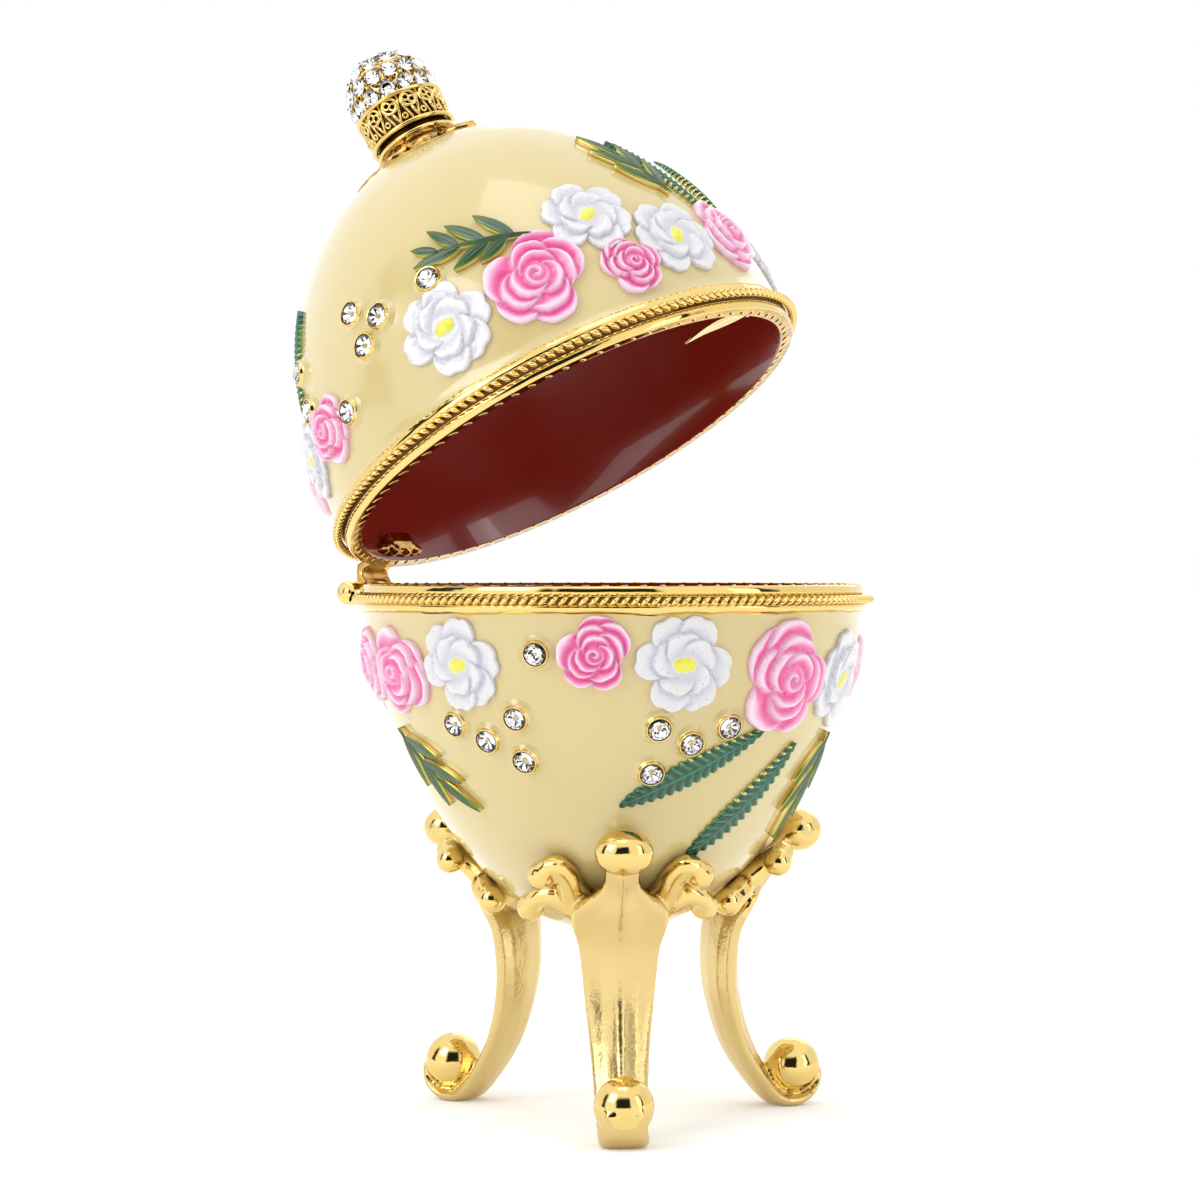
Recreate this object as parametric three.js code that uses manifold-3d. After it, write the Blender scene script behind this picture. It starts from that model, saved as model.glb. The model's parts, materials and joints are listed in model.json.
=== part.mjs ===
// Jewelled egg trinket box: a hollow cast-metal egg on three scrolled legs, its hinged lid open.
// Millimetres, +Z up. The floor is z = 0, the hinge is at the back (+Y) and the catch at the front (-Y).
import * as THREE from "three";
import { mergeVertices } from "three/addons/utils/BufferGeometryUtils.js";
import Module from "manifold-3d";

const wasm = await Module();
wasm.setup();

// Driving dimensions
const rimHeight = 63.2; // the plane where lid and bowl meet, above the floor
const lidOpening = 30.5; // degrees from closed
const axisSetback = 3.8; // from the middle of the open box's footprint to the egg's axis
const jointGap = 0.3; // left between pieces that touch
const wall = 1.8;
const facets = 27; // round the egg
const ropeRadius = 31;
const bandRadius = 29.7;
const lipRadius = 29.45;
const domeStart = 4.2; // height of the rim's mouldings, from the meeting plane to the enamel

// A half egg's outer radius falls from "radius" at domeStart to nothing at domeStart + rise.
// "up" is 1 for the lid and -1 for the bowl, and "fullness" is 2 on an ellipse and less on a slimmer egg.
const bowlShell = { radius: 29.3, rise: 37.4, fullness: 1.43, up: -1, domeRings: 6 };
const lidShell = { radius: 29.6, rise: 36.8, fullness: 2, up: 1, domeRings: 6 };

// The legs are soldered on by hand, a little unevenly.
const legBearings = { leg_back: 84, leg_left: 210.5, leg_right: 320 };
const hinge = { y: 33.3, drop: 1.3, knuckle: 1.4, bore: 0.75, pin: 0.45, sides: 8 };
const hingeLeaf = { halfWidth: 6.3, middleHalf: 3, plate: 2.9 };

const colours = {
  enamel: { color: 0xf0dfa8, roughness: 0.25, metalness: 0 },
  gold: { color: 0xe3b95c, roughness: 0.22, metalness: 1 },
  crystal: { color: 0xf4f7fb, roughness: 0.05, metalness: 0 },
};

const radians = THREE.MathUtils.degToRad;

// Solids and booleans

function toSolid(geometry) {
  const bare = geometry.clone();
  bare.deleteAttribute("normal");
  bare.deleteAttribute("uv");
  const merged = mergeVertices(bare, 1e-4);
  const mesh = { numProp: 3, vertProperties: merged.attributes.position.array };
  const triVerts = new Uint32Array(merged.index.array);
  const made = new wasm.Manifold(new wasm.Mesh({ ...mesh, triVerts }));
  if (made.volume() > 0) return made;
  const turned = triVerts.map((_, i) => triVerts[i - (i % 3) + ((3 - (i % 3)) % 3)]);
  return new wasm.Manifold(new wasm.Mesh({ ...mesh, triVerts: turned }));
}

function toGeometry(solid) {
  const { vertProperties, triVerts } = solid.getMesh();
  const geometry = new THREE.BufferGeometry();
  geometry.setAttribute("position", new THREE.BufferAttribute(vertProperties, 3));
  geometry.setIndex(new THREE.BufferAttribute(triVerts, 1));
  const flat = geometry.toNonIndexed();
  flat.computeVertexNormals();
  return flat;
}

function joinAll(solids) {
  return solids.reduce((whole, solid) => whole.add(solid));
}

// A solid turned round Z from [radius, height] pairs that start and end on the axis.
function turned(pairs, sides = facets) {
  const outline = pairs.map(([radius, height]) => new THREE.Vector2(radius, height));
  return new THREE.LatheGeometry(outline, sides).rotateX(Math.PI / 2);
}

function block(low, high) {
  const [dx, dy, dz] = high.map((value, i) => value - low[i]);
  const centre = low.map((value, i) => (value + high[i]) / 2);
  return toSolid(new THREE.BoxGeometry(dx, dy, dz).translate(...centre));
}

// A rod along X, about the point (y, z).
function rodAlongX(radius, fromX, toX, y, z, sides) {
  const rod = new THREE.CylinderGeometry(radius, radius, toX - fromX, sides).rotateZ(Math.PI / 2);
  return toSolid(rod.translate((fromX + toX) / 2, y, z));
}

// A closed form of rings that are closed at both ends. place(along, turn) gives each point:
// along runs from 0 to 1 over the rings and their end points, and turn from 0 to 1 round a ring.
// With flat ends, the first and last ring lie in the plane of their end points.
function ringed(sides, rings, flatEnds, place) {
  const geometry = new THREE.SphereGeometry(1, sides, rings + 1);
  const { position, uv } = geometry.attributes;
  for (let i = 0; i < position.count; i += 1) {
    const row = Math.round((1 - uv.getY(i)) * (rings + 1));
    const isEnd = row === 0 || row === rings + 1;
    const along = flatEnds
      ? THREE.MathUtils.clamp((row - 1) / (rings - 1), 0, 1)
      : row / (rings + 1);
    const point = place(along, isEnd ? 0 : uv.getX(i), isEnd ? 0 : 1);
    position.setXYZ(i, point.x, point.y, point.z);
  }
  return geometry;
}

// Where things lie on a half egg

function shellRadius(shell, depth, offset = 0) {
  const part = THREE.MathUtils.clamp((depth - domeStart) / (shell.rise + offset), 0, 1);
  return (shell.radius + offset) * Math.sqrt(1 - part ** shell.fullness);
}

function shellSlope(shell, depth) {
  const step = 0.05;
  return (shellRadius(shell, depth + step) - shellRadius(shell, depth - step)) / (2 * step);
}

// The depth from the meeting plane after walking "distance" along the wall towards the pole.
function walkedDepth(shell, depth, distance) {
  const steps = 12;
  let reached = depth;
  for (let i = 0; i < steps; i += 1) {
    reached += distance / steps / Math.hypot(1, shellSlope(shell, reached));
  }
  return reached;
}

// Lays flat work on the shell: x runs to the right, y upwards and z outwards, as seen from outside.
function layOn(shell, bearing, depth, tilt = 0) {
  return (x, y, z) => {
    const turn = radians(tilt);
    const across = x * Math.cos(turn) - y * Math.sin(turn);
    const upwards = x * Math.sin(turn) + y * Math.cos(turn);
    const reached = walkedDepth(shell, depth, upwards * shell.up);
    const slope = shellSlope(shell, reached);
    const radius = shellRadius(shell, reached);
    const angle = radians(bearing) + across / radius;
    const out = radius + z / Math.hypot(1, slope);
    const height = shell.up * (reached - (z * slope) / Math.hypot(1, slope));
    return new THREE.Vector3(out * Math.cos(angle), out * Math.sin(angle), height);
  };
}

function laid(geometry, lay) {
  const { position } = geometry.attributes;
  for (let i = 0; i < position.count; i += 1) {
    const point = lay(position.getX(i), position.getY(i), position.getZ(i));
    position.setXYZ(i, point.x, point.y, point.z);
  }
  return toSolid(geometry);
}

// Relief, as flat work

const reliefRoot = -0.9; // how far the relief reaches into the wall

// A round flower whose outline swells into petals. Rows are [part of the radius, height].
function flowerHead(radius, petals, sides, swell, rows) {
  const geometry = turned(rows.map(([part, height]) => [part * radius, height]), sides);
  const { position } = geometry.attributes;
  for (let i = 0; i < position.count; i += 1) {
    const angle = Math.atan2(position.getY(i), position.getX(i));
    const part = Math.hypot(position.getX(i), position.getY(i)) / radius;
    const lobe = 1 + swell * part ** 2 * Math.cos(petals * angle);
    position.setX(i, position.getX(i) * lobe);
    position.setY(i, position.getY(i) * lobe);
  }
  return geometry;
}

function rose(size) {
  const rows = [[0, reliefRoot], [0.9, reliefRoot], [0.98, 0.5], [0.5, 1.1], [0, 0.8]];
  return flowerHead(size / 2, 4, 8, 0.05, rows);
}

function daisy(size) {
  const rows = [[0, reliefRoot], [0.85, reliefRoot], [0.94, 0.5], [0, 0.9]];
  return flowerHead(size / 2, 5, 10, 0.12, rows);
}

// A leaf from the origin along +y, with a raised midrib and edges that bite "teeth" deep.
function leaf(length, width, height, rings = 1, teeth = 0) {
  return ringed(4, rings, false, (along, turn) => {
    const notch = 1 - teeth * (Math.round(along * (rings + 1)) % 2);
    const half = (width / 2) * Math.sin(Math.PI * along ** 0.85) ** 0.8 * notch;
    const side = Math.cos(2 * Math.PI * turn) * half;
    const rise = Math.sin(2 * Math.PI * turn);
    const root = along > 0 && along < 1 ? reliefRoot : 0;
    return new THREE.Vector3(side, along * length, rise > 0.5 ? height : rise < -0.5 ? root : 0.12);
  });
}

function stem(length) {
  return leaf(length, 0.9, 0.6);
}

// Each layout row: bearing and depth on the shell, then the motif's own sizes.

function flowersOf(shell, rows) {
  return rows.map(([make, bearing, depth, size]) => laid(make(size), layOn(shell, bearing, depth)));
}

// A sprig has pairs of leaves along a stem. tilt turns it: 0 points up, 90 points left.
function sprig(shell, bearing, depth, tilt, length) {
  const pairs = 2;
  const parts = [laid(stem(length * 0.8), layOn(shell, bearing, depth, tilt))];
  const base = layOn(shell, bearing, depth, tilt);
  for (let i = 0; i < pairs; i += 1) {
    for (const side of [-1, 1]) {
      const spread = radians(side * (36 - 8 * i));
      const blade = leaf(length * (0.52 - 0.06 * i), length * 0.17, 0.8).rotateZ(spread);
      parts.push(laid(blade.translate(0, length * (0.14 + 0.3 * i), 0), base));
    }
  }
  return joinAll(parts);
}

function fern(shell, bearing, depth, tilt, length) {
  return laid(leaf(length, length * 0.24, 0.8, 5, 0.2), layOn(shell, bearing, depth, tilt));
}

// Stones and their cups

const cup = { rootRadius: 1.85, lipRadius: 1.6, lipHeight: 0.8, floorRadius: 1.4, floorHeight: 0.15 };
const stone = { girdle: 1.15, table: 0.7, bottom: 0.45, girdleHeight: 0.62, top: 1.2 };
const stoneSides = 6;

function bezelCup(shell, bearing, depth) {
  const { rootRadius, lipRadius: lip, lipHeight, floorRadius, floorHeight } = cup;
  const outline = [[0, reliefRoot], [rootRadius, reliefRoot], [lip, lipHeight]];
  outline.push([floorRadius, floorHeight], [0, floorHeight]);
  return laid(turned(outline, stoneSides), layOn(shell, bearing, depth));
}

function cutStone(shell, bearing, depth, name) {
  const { girdle, table, bottom, girdleHeight, top } = stone;
  const outline = [[0, bottom], [girdle, girdleHeight], [table, top], [0, top]];
  const mesh = piece(name, toSolid(turned(outline, stoneSides)), "crystal");
  const lay = layOn(shell, bearing, depth);
  const origin = lay(0, 0, 0);
  const right = lay(0.01, 0, 0).sub(origin).normalize();
  const outward = lay(0, 0, 1).sub(origin).normalize();
  const upward = new THREE.Vector3().crossVectors(outward, right);
  mesh.quaternion.setFromRotationMatrix(new THREE.Matrix4().makeBasis(right, upward, outward));
  mesh.position.copy(origin);
  return mesh;
}

// Pieces

function piece(name, solid, finish) {
  const mesh = new THREE.Mesh(toGeometry(solid), new THREE.MeshStandardMaterial(colours[finish]));
  mesh.name = name;
  return mesh;
}

// The wall with its rim: smooth band, rope and smooth band outside the flat lip, and the hollow inside.
function shellWall(shell) {
  const { rise, up, domeRings } = shell;
  const outline = [];
  for (let i = 0; i <= domeRings; i += 1) {
    const depth = domeStart + rise * Math.cos((Math.PI / 2) * (i / domeRings));
    outline.push([i === 0 ? 0 : shellRadius(shell, depth), up * depth]);
  }
  const rim = [[30, 3.6], [ropeRadius, 2.7], [ropeRadius, 1.9], [bandRadius, 1.5]];
  rim.push([lipRadius, jointGap / 2], [shell.radius - wall, jointGap / 2]);
  outline.push(...rim.map(([radius, depth]) => [radius, up * depth]));
  const hollowRings = domeRings - 2;
  for (let i = 0; i <= hollowRings; i += 1) {
    const depth = domeStart + (rise - wall) * Math.sin((Math.PI / 2) * (i / hollowRings));
    const radius = shellRadius(shell, domeStart + ((depth - domeStart) * rise) / (rise - wall));
    outline.push([i === hollowRings ? 0 : radius * (1 - wall / shell.radius), up * depth]);
  }
  return toSolid(turned(outline));
}

const bowlFlowers = [
  [rose, 148.5, 10, 11.5], [daisy, 170.5, 9, 11.2], [rose, 203.5, 7.6, 9], [daisy, 223.5, 8.8, 11.8],
  [rose, 251.5, 10.5, 14], [daisy, 276.5, 11, 12.5], [rose, 307, 10, 12], [daisy, 343, 9.5, 11.5],
  [rose, 17, 10, 12.5], [daisy, 54, 10.5, 12], [daisy, 105, 11, 11.5], [rose, 129, 9.5, 9.5],
];
const lidFlowers = [
  [daisy, 190.5, 10.8, 11.8], [rose, 213.5, 11, 12.6], [rose, 234.5, 8.2, 7.8], [daisy, 232, 16, 11],
  [daisy, 250.5, 10.5, 11.4], [rose, 271, 10.5, 11], [daisy, 297, 10.5, 11.5], [rose, 329, 11, 12.5],
  [daisy, 2, 11, 11.5], [rose, 37, 11, 12], [daisy, 76, 11, 11.5], [rose, 109, 10, 9.5],
  [daisy, 130.5, 10.4, 10.5], [rose, 148, 10.2, 9],
];
const bowlStones = [
  [190.5, 7.6], [166, 15.7], [175, 17.4], [184, 14.8], [184.5, 19.6], [218.5, 15.9],
  [227, 17.6], [217.5, 20.9], [236.5, 15.8], [345, 16], [348, 20],
];
const lidStones = [
  [191.5, 17.1], [168.8, 19.4], [176.4, 16.8], [170.2, 14.8], [158.4, 9.8], [139, 19.6], [141.5, 14.4],
  [348, 19.5], [0, 18.5],
];

function bowlCasting() {
  const relief = flowersOf(bowlShell, bowlFlowers);
  relief.push(fern(bowlShell, 246.5, 16.5, 122, 16), fern(bowlShell, 261.5, 17, 152, 17));
  relief.push(fern(bowlShell, 30, 16.5, -155, 15));
  relief.push(sprig(bowlShell, 140.5, 17, -140, 14), sprig(bowlShell, 278.5, 17, 175, 14));
  relief.push(...bowlStones.map(([bearing, depth]) => bezelCup(bowlShell, bearing, depth)));
  const whole = joinAll([shellWall(bowlShell), ...relief]);
  const reach = hingeLeaf.halfWidth + 0.5;
  const hingeSeat = block([-reach, hinge.y - hingeLeaf.plate - jointGap, -4.6], [reach, 40, 1]);
  const leafPass = block([-3.8, 20, -0.9], [3.8, 40, 1]);
  return whole.subtract(hingeSeat).subtract(leafPass);
}

function lidCasting() {
  const relief = flowersOf(lidShell, lidFlowers);
  relief.push(sprig(lidShell, 216.5, 16.8, 72, 14), sprig(lidShell, 259, 16.5, 12, 13));
  relief.push(fern(lidShell, 268, 15.2, 16, 13), fern(lidShell, 278, 15, -25, 13));
  relief.push(fern(lidShell, 136, 15.5, 0, 13), sprig(lidShell, 323, 17.5, -25, 13));
  relief.push(fern(lidShell, 44, 17, -15, 14));
  relief.push(...lidStones.map(([bearing, depth]) => bezelCup(lidShell, bearing, depth)));
  const whole = joinAll([shellWall(lidShell), ...relief]);
  return whole.subtract(block([-3.7, 20, -1], [3.7, 40, 2.4]));
}

// The knob, standing on the lid's crown: leafy foot, waisted collar and a ball set with stones.
const knob = { seat: 41, ballHeight: 49.9, ballRadius: 5.5, sides: 12, footRadius: 6.4 };

function knobBallPoint(polar, bearing, out) {
  const radius = knob.ballRadius + out;
  const ring = radius * Math.sin(polar);
  const height = knob.ballHeight + radius * Math.cos(polar);
  return new THREE.Vector3(ring * Math.cos(bearing), ring * Math.sin(bearing), height);
}

// A stone of the pave: a low four-sided stud whose foot is sunk in the ball.
function paveStud(polar, bearing) {
  return toSolid(ringed(4, 2, true, (along, turn, spread) => {
    const radius = spread * (along < 0.5 ? 1.05 : 0.6);
    const angle = 2 * Math.PI * turn;
    const out = along < 0.5 ? -0.5 : 0.45;
    const side = (radius * Math.sin(angle)) / Math.max(Math.sin(polar), 0.25) / knob.ballRadius;
    return knobBallPoint(polar + (radius * Math.cos(angle)) / knob.ballRadius, bearing + side, out);
  }));
}

function finialCasting() {
  const { seat, ballHeight, ballRadius, sides, footRadius } = knob;
  const footHeight = domeStart + lidShell.rise * Math.sqrt(1 - (footRadius / lidShell.radius) ** 2);
  const outline = [[0, seat + jointGap], [footRadius, footHeight + jointGap]];
  outline.push([footRadius - 0.3, footHeight + 1.5], [4.7, seat + 2], [5.2, seat + 3.2]);
  outline.push([5.9, seat + 5.2], [6, ballHeight - 1.2], [ballRadius, ballHeight]);
  for (const polar of [60, 35]) {
    const angle = radians(polar);
    outline.push([ballRadius * Math.sin(angle), ballHeight + ballRadius * Math.cos(angle)]);
  }
  outline.push([0, ballHeight + ballRadius]);
  const solids = [toSolid(turned(outline, sides))];
  const rows = [[0, 1], [36, 5], [69, 8]];
  for (const [polar, count] of rows) {
    for (let i = 0; i < count; i += 1) {
      solids.push(paveStud(radians(polar), (2 * Math.PI * (i + polar / 100)) / count));
    }
  }
  return joinAll(solids);
}

// One leg, built with its outward side along +X, then turned to its bearing.
// Stations: distance from the axis, height above the floor, width and thickness of the blade.
const legStations = [
  [23.4, 33.6, 3.4, 2.6], [20.9, 31, 5.6, 3.1], [18.1, 28.2, 9, 3.6], [15.4, 25, 10.4, 3.8],
  [14, 21, 8.6, 3.8], [13.8, 16, 7, 3.7], [14.6, 11.2, 6.1, 3.5], [16.2, 7.2, 5.7, 3.2],
  [18.4, 3.6, 5.5, 2.7], [21, 0.6, 5.5, 2.4], [23.7, 0.4, 5.5, 2], [25.7, 2, 5.2, 1.5],
  [26.3, 4.3, 4.4, 1.1],
];
const footBall = { out: 23.4, height: 4.6, radius: 3.45 };
const headBall = { out: 24.1, height: 33.2, radius: 2.85 };
const upperArm = [[1.2, -5, 0.6], [3.7, -3.8, 1.2], [5.6, -0.6, 2], [7.5, -0.2, 2.4], [8.1, -1.9, 2.6]];
const lowerArm = [[1.5, -9, 0], [4.4, -7.4, 0.6], [6.8, -5.6, 1], [8.6, -6.2, 1.3], [9.4, -7.6, 1.4]];
const armGirths = [2, 1.5, 1.4, 1.9, 1.2];
const headDepth = 30; // the arms are laid out from here on the bowl

// Moves a point of a leg out to just clear of the bowl's wall.
function clearOfBowl(point) {
  const limit = shellRadius(bowlShell, Math.max(domeStart, -point.z), jointGap);
  const radius = Math.hypot(point.x, point.y);
  if (radius >= limit) return point;
  return new THREE.Vector3((point.x * limit) / radius, (point.y * limit) / radius, point.z);
}

function legBlade() {
  const points = legStations.map(([out, height]) => new THREE.Vector3(out, 0, height - rimHeight));
  const path = new THREE.CatmullRomCurve3(points);
  const last = points.length - 1;
  // Across, as part of the half width, and outward, as part of the thickness: a ridge and a flat back.
  const section = [[0, 0.6], [1, 0], [0.6, -0.4], [-0.6, -0.4], [-1, 0]];
  return ringed(section.length, last + 1, true, (along, turn, spread) => {
    const station = Math.round(along * last);
    const [, , width, thickness] = legStations[station];
    const [across, outward] = section[Math.round(turn * section.length) % section.length];
    const heading = path.getTangent(along);
    const out = outward * thickness * spread;
    const { x, z } = points[station];
    return new THREE.Vector3(x - heading.z * out, (across * spread * width) / 2, z + heading.x * out);
  });
}

// An arm of the leg's head that curls away sideways over the bowl. side is 1 or -1.
function legArm(turns, side) {
  const lay = layOn(bowlShell, 0, headDepth);
  const path = new THREE.CatmullRomCurve3(turns.map(([x, y, z]) => new THREE.Vector3(side * x, y, z)));
  const last = armGirths.length - 1;
  return ringed(4, last + 1, true, (along, turn, spread) => {
    const girth = spread * armGirths[Math.round(along * last)];
    const centre = path.getPoint(along);
    const heading = path.getTangent(along);
    const angle = 2 * Math.PI * turn;
    const sideways = girth * Math.cos(angle);
    const outwards = centre.z + girth * Math.sin(angle);
    return lay(centre.x - heading.y * sideways, centre.y + heading.x * sideways, outwards);
  });
}

function ball(radius, centre) {
  return new THREE.SphereGeometry(radius, 8, 4).rotateX(Math.PI / 2).translate(...centre);
}

function legCasting() {
  const parts = [legBlade()];
  for (const side of [-1, 1]) {
    parts.push(legArm(upperArm, side), legArm(lowerArm, side));
  }
  const solids = parts.map((part) => laid(part, (x, y, z) => clearOfBowl(new THREE.Vector3(x, y, z))));
  for (const { out, height, radius } of [headBall, footBall]) {
    solids.push(toSolid(ball(radius, [out, 0, height - rimHeight])));
  }
  const floor = block([-10, -20, -rimHeight - 10], [40, 20, -rimHeight]);
  return joinAll(solids).subtract(floor);
}

function hingeBowlLeaf() {
  const { y, drop, knuckle, bore, sides } = hinge;
  const { halfWidth: span, middleHalf } = hingeLeaf;
  const plate = block([-span, y - hingeLeaf.plate, -4.2], [span, y - 0.1, -0.6]);
  const barrel = rodAlongX(knuckle, -span, span, y, -drop, sides);
  const room = middleHalf + jointGap;
  const clearance = rodAlongX(knuckle + jointGap, -room, room, y, -drop, sides);
  const hole = rodAlongX(bore, -span - 1, span + 1, y, -drop, sides);
  return plate.add(barrel).subtract(clearance).subtract(hole);
}

// The lid's leaf runs from its knuckle over the lip and up the inside of the wall.
function hingeLidLeaf() {
  const { y, drop, knuckle, bore, sides } = hinge;
  const { middleHalf } = hingeLeaf;
  const thick = 1.1;
  const inside = (lidShell.radius - wall) * Math.cos(Math.PI / facets) - 1.5 * jointGap;
  const side = new THREE.Shape();
  side.moveTo(y - 0.2, -drop + knuckle - 0.1);
  side.lineTo(y - 0.6, 1.9);
  side.lineTo(inside + 0.1, 1.9);
  side.lineTo(inside - 0.1, 5);
  side.lineTo(inside - 0.8, 5);
  side.lineTo(inside - thick, 1.5);
  side.lineTo(inside - 0.4, 0.5);
  side.lineTo(y - knuckle + 0.1, 0.5);
  side.lineTo(y - knuckle + 0.1, -drop);
  const arm = new THREE.ExtrudeGeometry(side, { depth: 2 * middleHalf, bevelEnabled: false });
  arm.rotateY(Math.PI / 2).rotateX(Math.PI / 2).translate(-middleHalf, 0, 0);
  const barrel = rodAlongX(knuckle, -middleHalf, middleHalf, y, -drop, sides);
  const hole = rodAlongX(bore, -middleHalf - 1, middleHalf + 1, y, -drop, sides);
  return toSolid(arm).add(barrel).subtract(hole);
}

function hingePin() {
  const { y, drop, pin, sides } = hinge;
  return rodAlongX(pin, -hingeLeaf.halfWidth, hingeLeaf.halfWidth, y, -drop, sides);
}

function catchTongue() {
  const length = 8.6;
  const blade = ringed(4, 5, false, (along, turn) => {
    const half = 2.1 * Math.sin(Math.PI * along ** 0.8) ** 0.7;
    const rise = Math.sin(2 * Math.PI * turn);
    const flat = along > 0 && along < 1 ? 0.35 : 0;
    return new THREE.Vector3(Math.cos(2 * Math.PI * turn) * half, along * length, rise * flat);
  });
  blade.rotateZ(radians(28)).translate(1.9, -27, 1.9);
  const socket = turned([[0, 0], [25.9, 0], [25.9, 4], [0, 4]]);
  return toSolid(blade).intersect(toSolid(socket));
}

// Assembly

const egg = new THREE.Group();
egg.position.set(0, -axisSetback, rimHeight);

const lidGroup = new THREE.Group();
lidGroup.position.set(0, hinge.y, -hinge.drop);
lidGroup.rotation.x = -radians(lidOpening);
const closedLid = new THREE.Group(); // the lid's pieces as they lie when it is shut
closedLid.position.set(0, -hinge.y, hinge.drop);
lidGroup.add(closedLid);
egg.add(lidGroup);

egg.add(piece("bowl", bowlCasting(), "enamel"));
closedLid.add(piece("lid", lidCasting(), "enamel"));
closedLid.add(piece("finial", finialCasting(), "gold"));

const legSolid = legCasting();
for (const [name, bearing] of Object.entries(legBearings)) {
  const leg = piece(name, legSolid, "gold");
  leg.rotation.z = radians(bearing);
  egg.add(leg);
}

egg.add(piece("hinge_bowl_leaf", hingeBowlLeaf(), "gold"));
egg.add(piece("hinge_pin", hingePin(), "gold"));
closedLid.add(piece("hinge_lid_leaf", hingeLidLeaf(), "gold"));
closedLid.add(piece("catch_tongue", catchTongue(), "gold"));

const numbered = (index) => String(index + 1).padStart(2, "0");
bowlStones.forEach(([bearing, depth], i) => {
  egg.add(cutStone(bowlShell, bearing, depth, `bowl_stone_${numbered(i)}`));
});
lidStones.forEach(([bearing, depth], i) => {
  closedLid.add(cutStone(lidShell, bearing, depth, `lid_stone_${numbered(i)}`));
});

export default egg;
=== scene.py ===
import json
from math import atan2, cos, exp, hypot, pi, radians, sin, sqrt

import bmesh
import bpy
from mathutils import Matrix, Vector, noise


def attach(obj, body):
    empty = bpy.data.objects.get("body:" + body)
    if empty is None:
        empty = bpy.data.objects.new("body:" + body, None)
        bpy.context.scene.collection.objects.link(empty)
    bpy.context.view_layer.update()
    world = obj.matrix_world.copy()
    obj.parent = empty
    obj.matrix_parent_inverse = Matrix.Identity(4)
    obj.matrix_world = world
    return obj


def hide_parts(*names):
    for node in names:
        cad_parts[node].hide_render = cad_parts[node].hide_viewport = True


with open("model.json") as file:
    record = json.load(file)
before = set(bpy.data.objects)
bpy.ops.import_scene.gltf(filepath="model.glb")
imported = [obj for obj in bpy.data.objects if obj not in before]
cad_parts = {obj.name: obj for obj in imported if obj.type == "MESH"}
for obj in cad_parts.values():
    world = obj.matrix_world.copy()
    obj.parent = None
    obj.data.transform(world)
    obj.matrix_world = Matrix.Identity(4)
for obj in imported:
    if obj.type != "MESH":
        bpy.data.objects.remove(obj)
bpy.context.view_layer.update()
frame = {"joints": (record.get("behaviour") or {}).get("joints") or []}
scene = bpy.context.scene
scene.view_settings.view_transform = "Standard"

# Pieces are shaped in millimetres round the shut egg's axis, with z = 0 where lid and bowl meet.
# settle() then puts them on the frame, in metres.
egg = {"hingeOut": 33.3, "hingeDrop": 1.3, "rimHeight": 63.2, "wall": 1.8, "domeStart": 4.2}
bowlShell = {"radius": 29.3, "rise": 37.4, "fullness": 1.43, "up": -1}
lidShell = {"radius": 29.6, "rise": 36.8, "fullness": 2.0, "up": 1}

hingeJoint = frame["joints"][0]
hingeAt = Vector(hingeJoint["pos_m"])
opening = radians(-hingeJoint["range_deg"][0])
toMetres = Matrix.Scale(0.001, 4)
toHinge = Matrix.Translation((0, -egg["hingeOut"], egg["hingeDrop"]))
onBowl = Matrix.Translation(hingeAt) @ toMetres @ toHinge
onLid = Matrix.Translation(hingeAt) @ Matrix.Rotation(-opening, 4, "X") @ toMetres @ toHinge


# modelling helpers

def deselect():
    bpy.ops.object.select_all(action="DESELECT")


def chosen(piece):
    deselect()
    piece.select_set(True)
    bpy.context.view_layer.objects.active = piece


def editing(piece):
    chosen(piece)
    bpy.ops.object.mode_set(mode="EDIT")
    bpy.ops.mesh.select_all(action="SELECT")


def doneEditing():
    bpy.ops.object.mode_set(mode="OBJECT")


def named(name):
    piece = bpy.context.active_object
    piece.name = name
    piece.data.name = name
    return piece


# Adds one of Blender's own forms under a name.
def added(name, primitive, **values):
    deselect()
    primitive(**values)
    return named(name)


def turned(degrees, axis="Z"):
    return Matrix.Rotation(radians(degrees), 4, axis)


def moved(x, y, z):
    return Matrix.Translation((x, y, z))


def stretched(x, y, z):
    return Matrix.Diagonal((x, y, z, 1))


def cleaned(piece, threshold=0.001):
    editing(piece)
    bpy.ops.mesh.remove_doubles(threshold=threshold)
    bpy.ops.mesh.normals_make_consistent(inside=False)
    doneEditing()
    return piece


def smoothed(piece, angle=None):
    chosen(piece)
    if angle is None:
        bpy.ops.object.shade_smooth()
    else:
        bpy.ops.object.shade_smooth_by_angle(angle=radians(angle))
    return piece


def finished(piece, kind, name="finish", **values):
    chosen(piece)
    modifier = piece.modifiers.new(name, kind)
    for key, value in values.items():
        setattr(modifier, key, value)
    bpy.ops.object.modifier_apply(modifier=modifier.name)
    return piece


def copyOf(piece, name):
    chosen(piece)
    bpy.ops.object.duplicate()
    return named(name)


def joined(pieces, name):
    deselect()
    for piece in pieces:
        piece.select_set(True)
    bpy.context.view_layer.objects.active = pieces[0]
    bpy.ops.object.join()
    return named(name)


# A closed form turned round Z from [radius, height] pairs.
def spunPiece(name, profile, steps):
    piece = added(name, bpy.ops.mesh.primitive_plane_add, size=1)
    editing(piece)
    bpy.ops.mesh.merge(type="CENTER")
    bpy.ops.transform.translate(value=(profile[0][0], 0, profile[0][1]))
    for (radius, height), (nextRadius, nextHeight) in zip(profile, profile[1:]):
        step = (nextRadius - radius, 0, nextHeight - height)
        bpy.ops.mesh.extrude_region_move(TRANSFORM_OT_translate={"value": step})
    bpy.ops.mesh.select_all(action="SELECT")
    bpy.ops.mesh.spin(steps=steps, angle=2 * pi, center=(0, 0, 0), axis=(0, 0, 1))
    doneEditing()
    return cleaned(piece)


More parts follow.
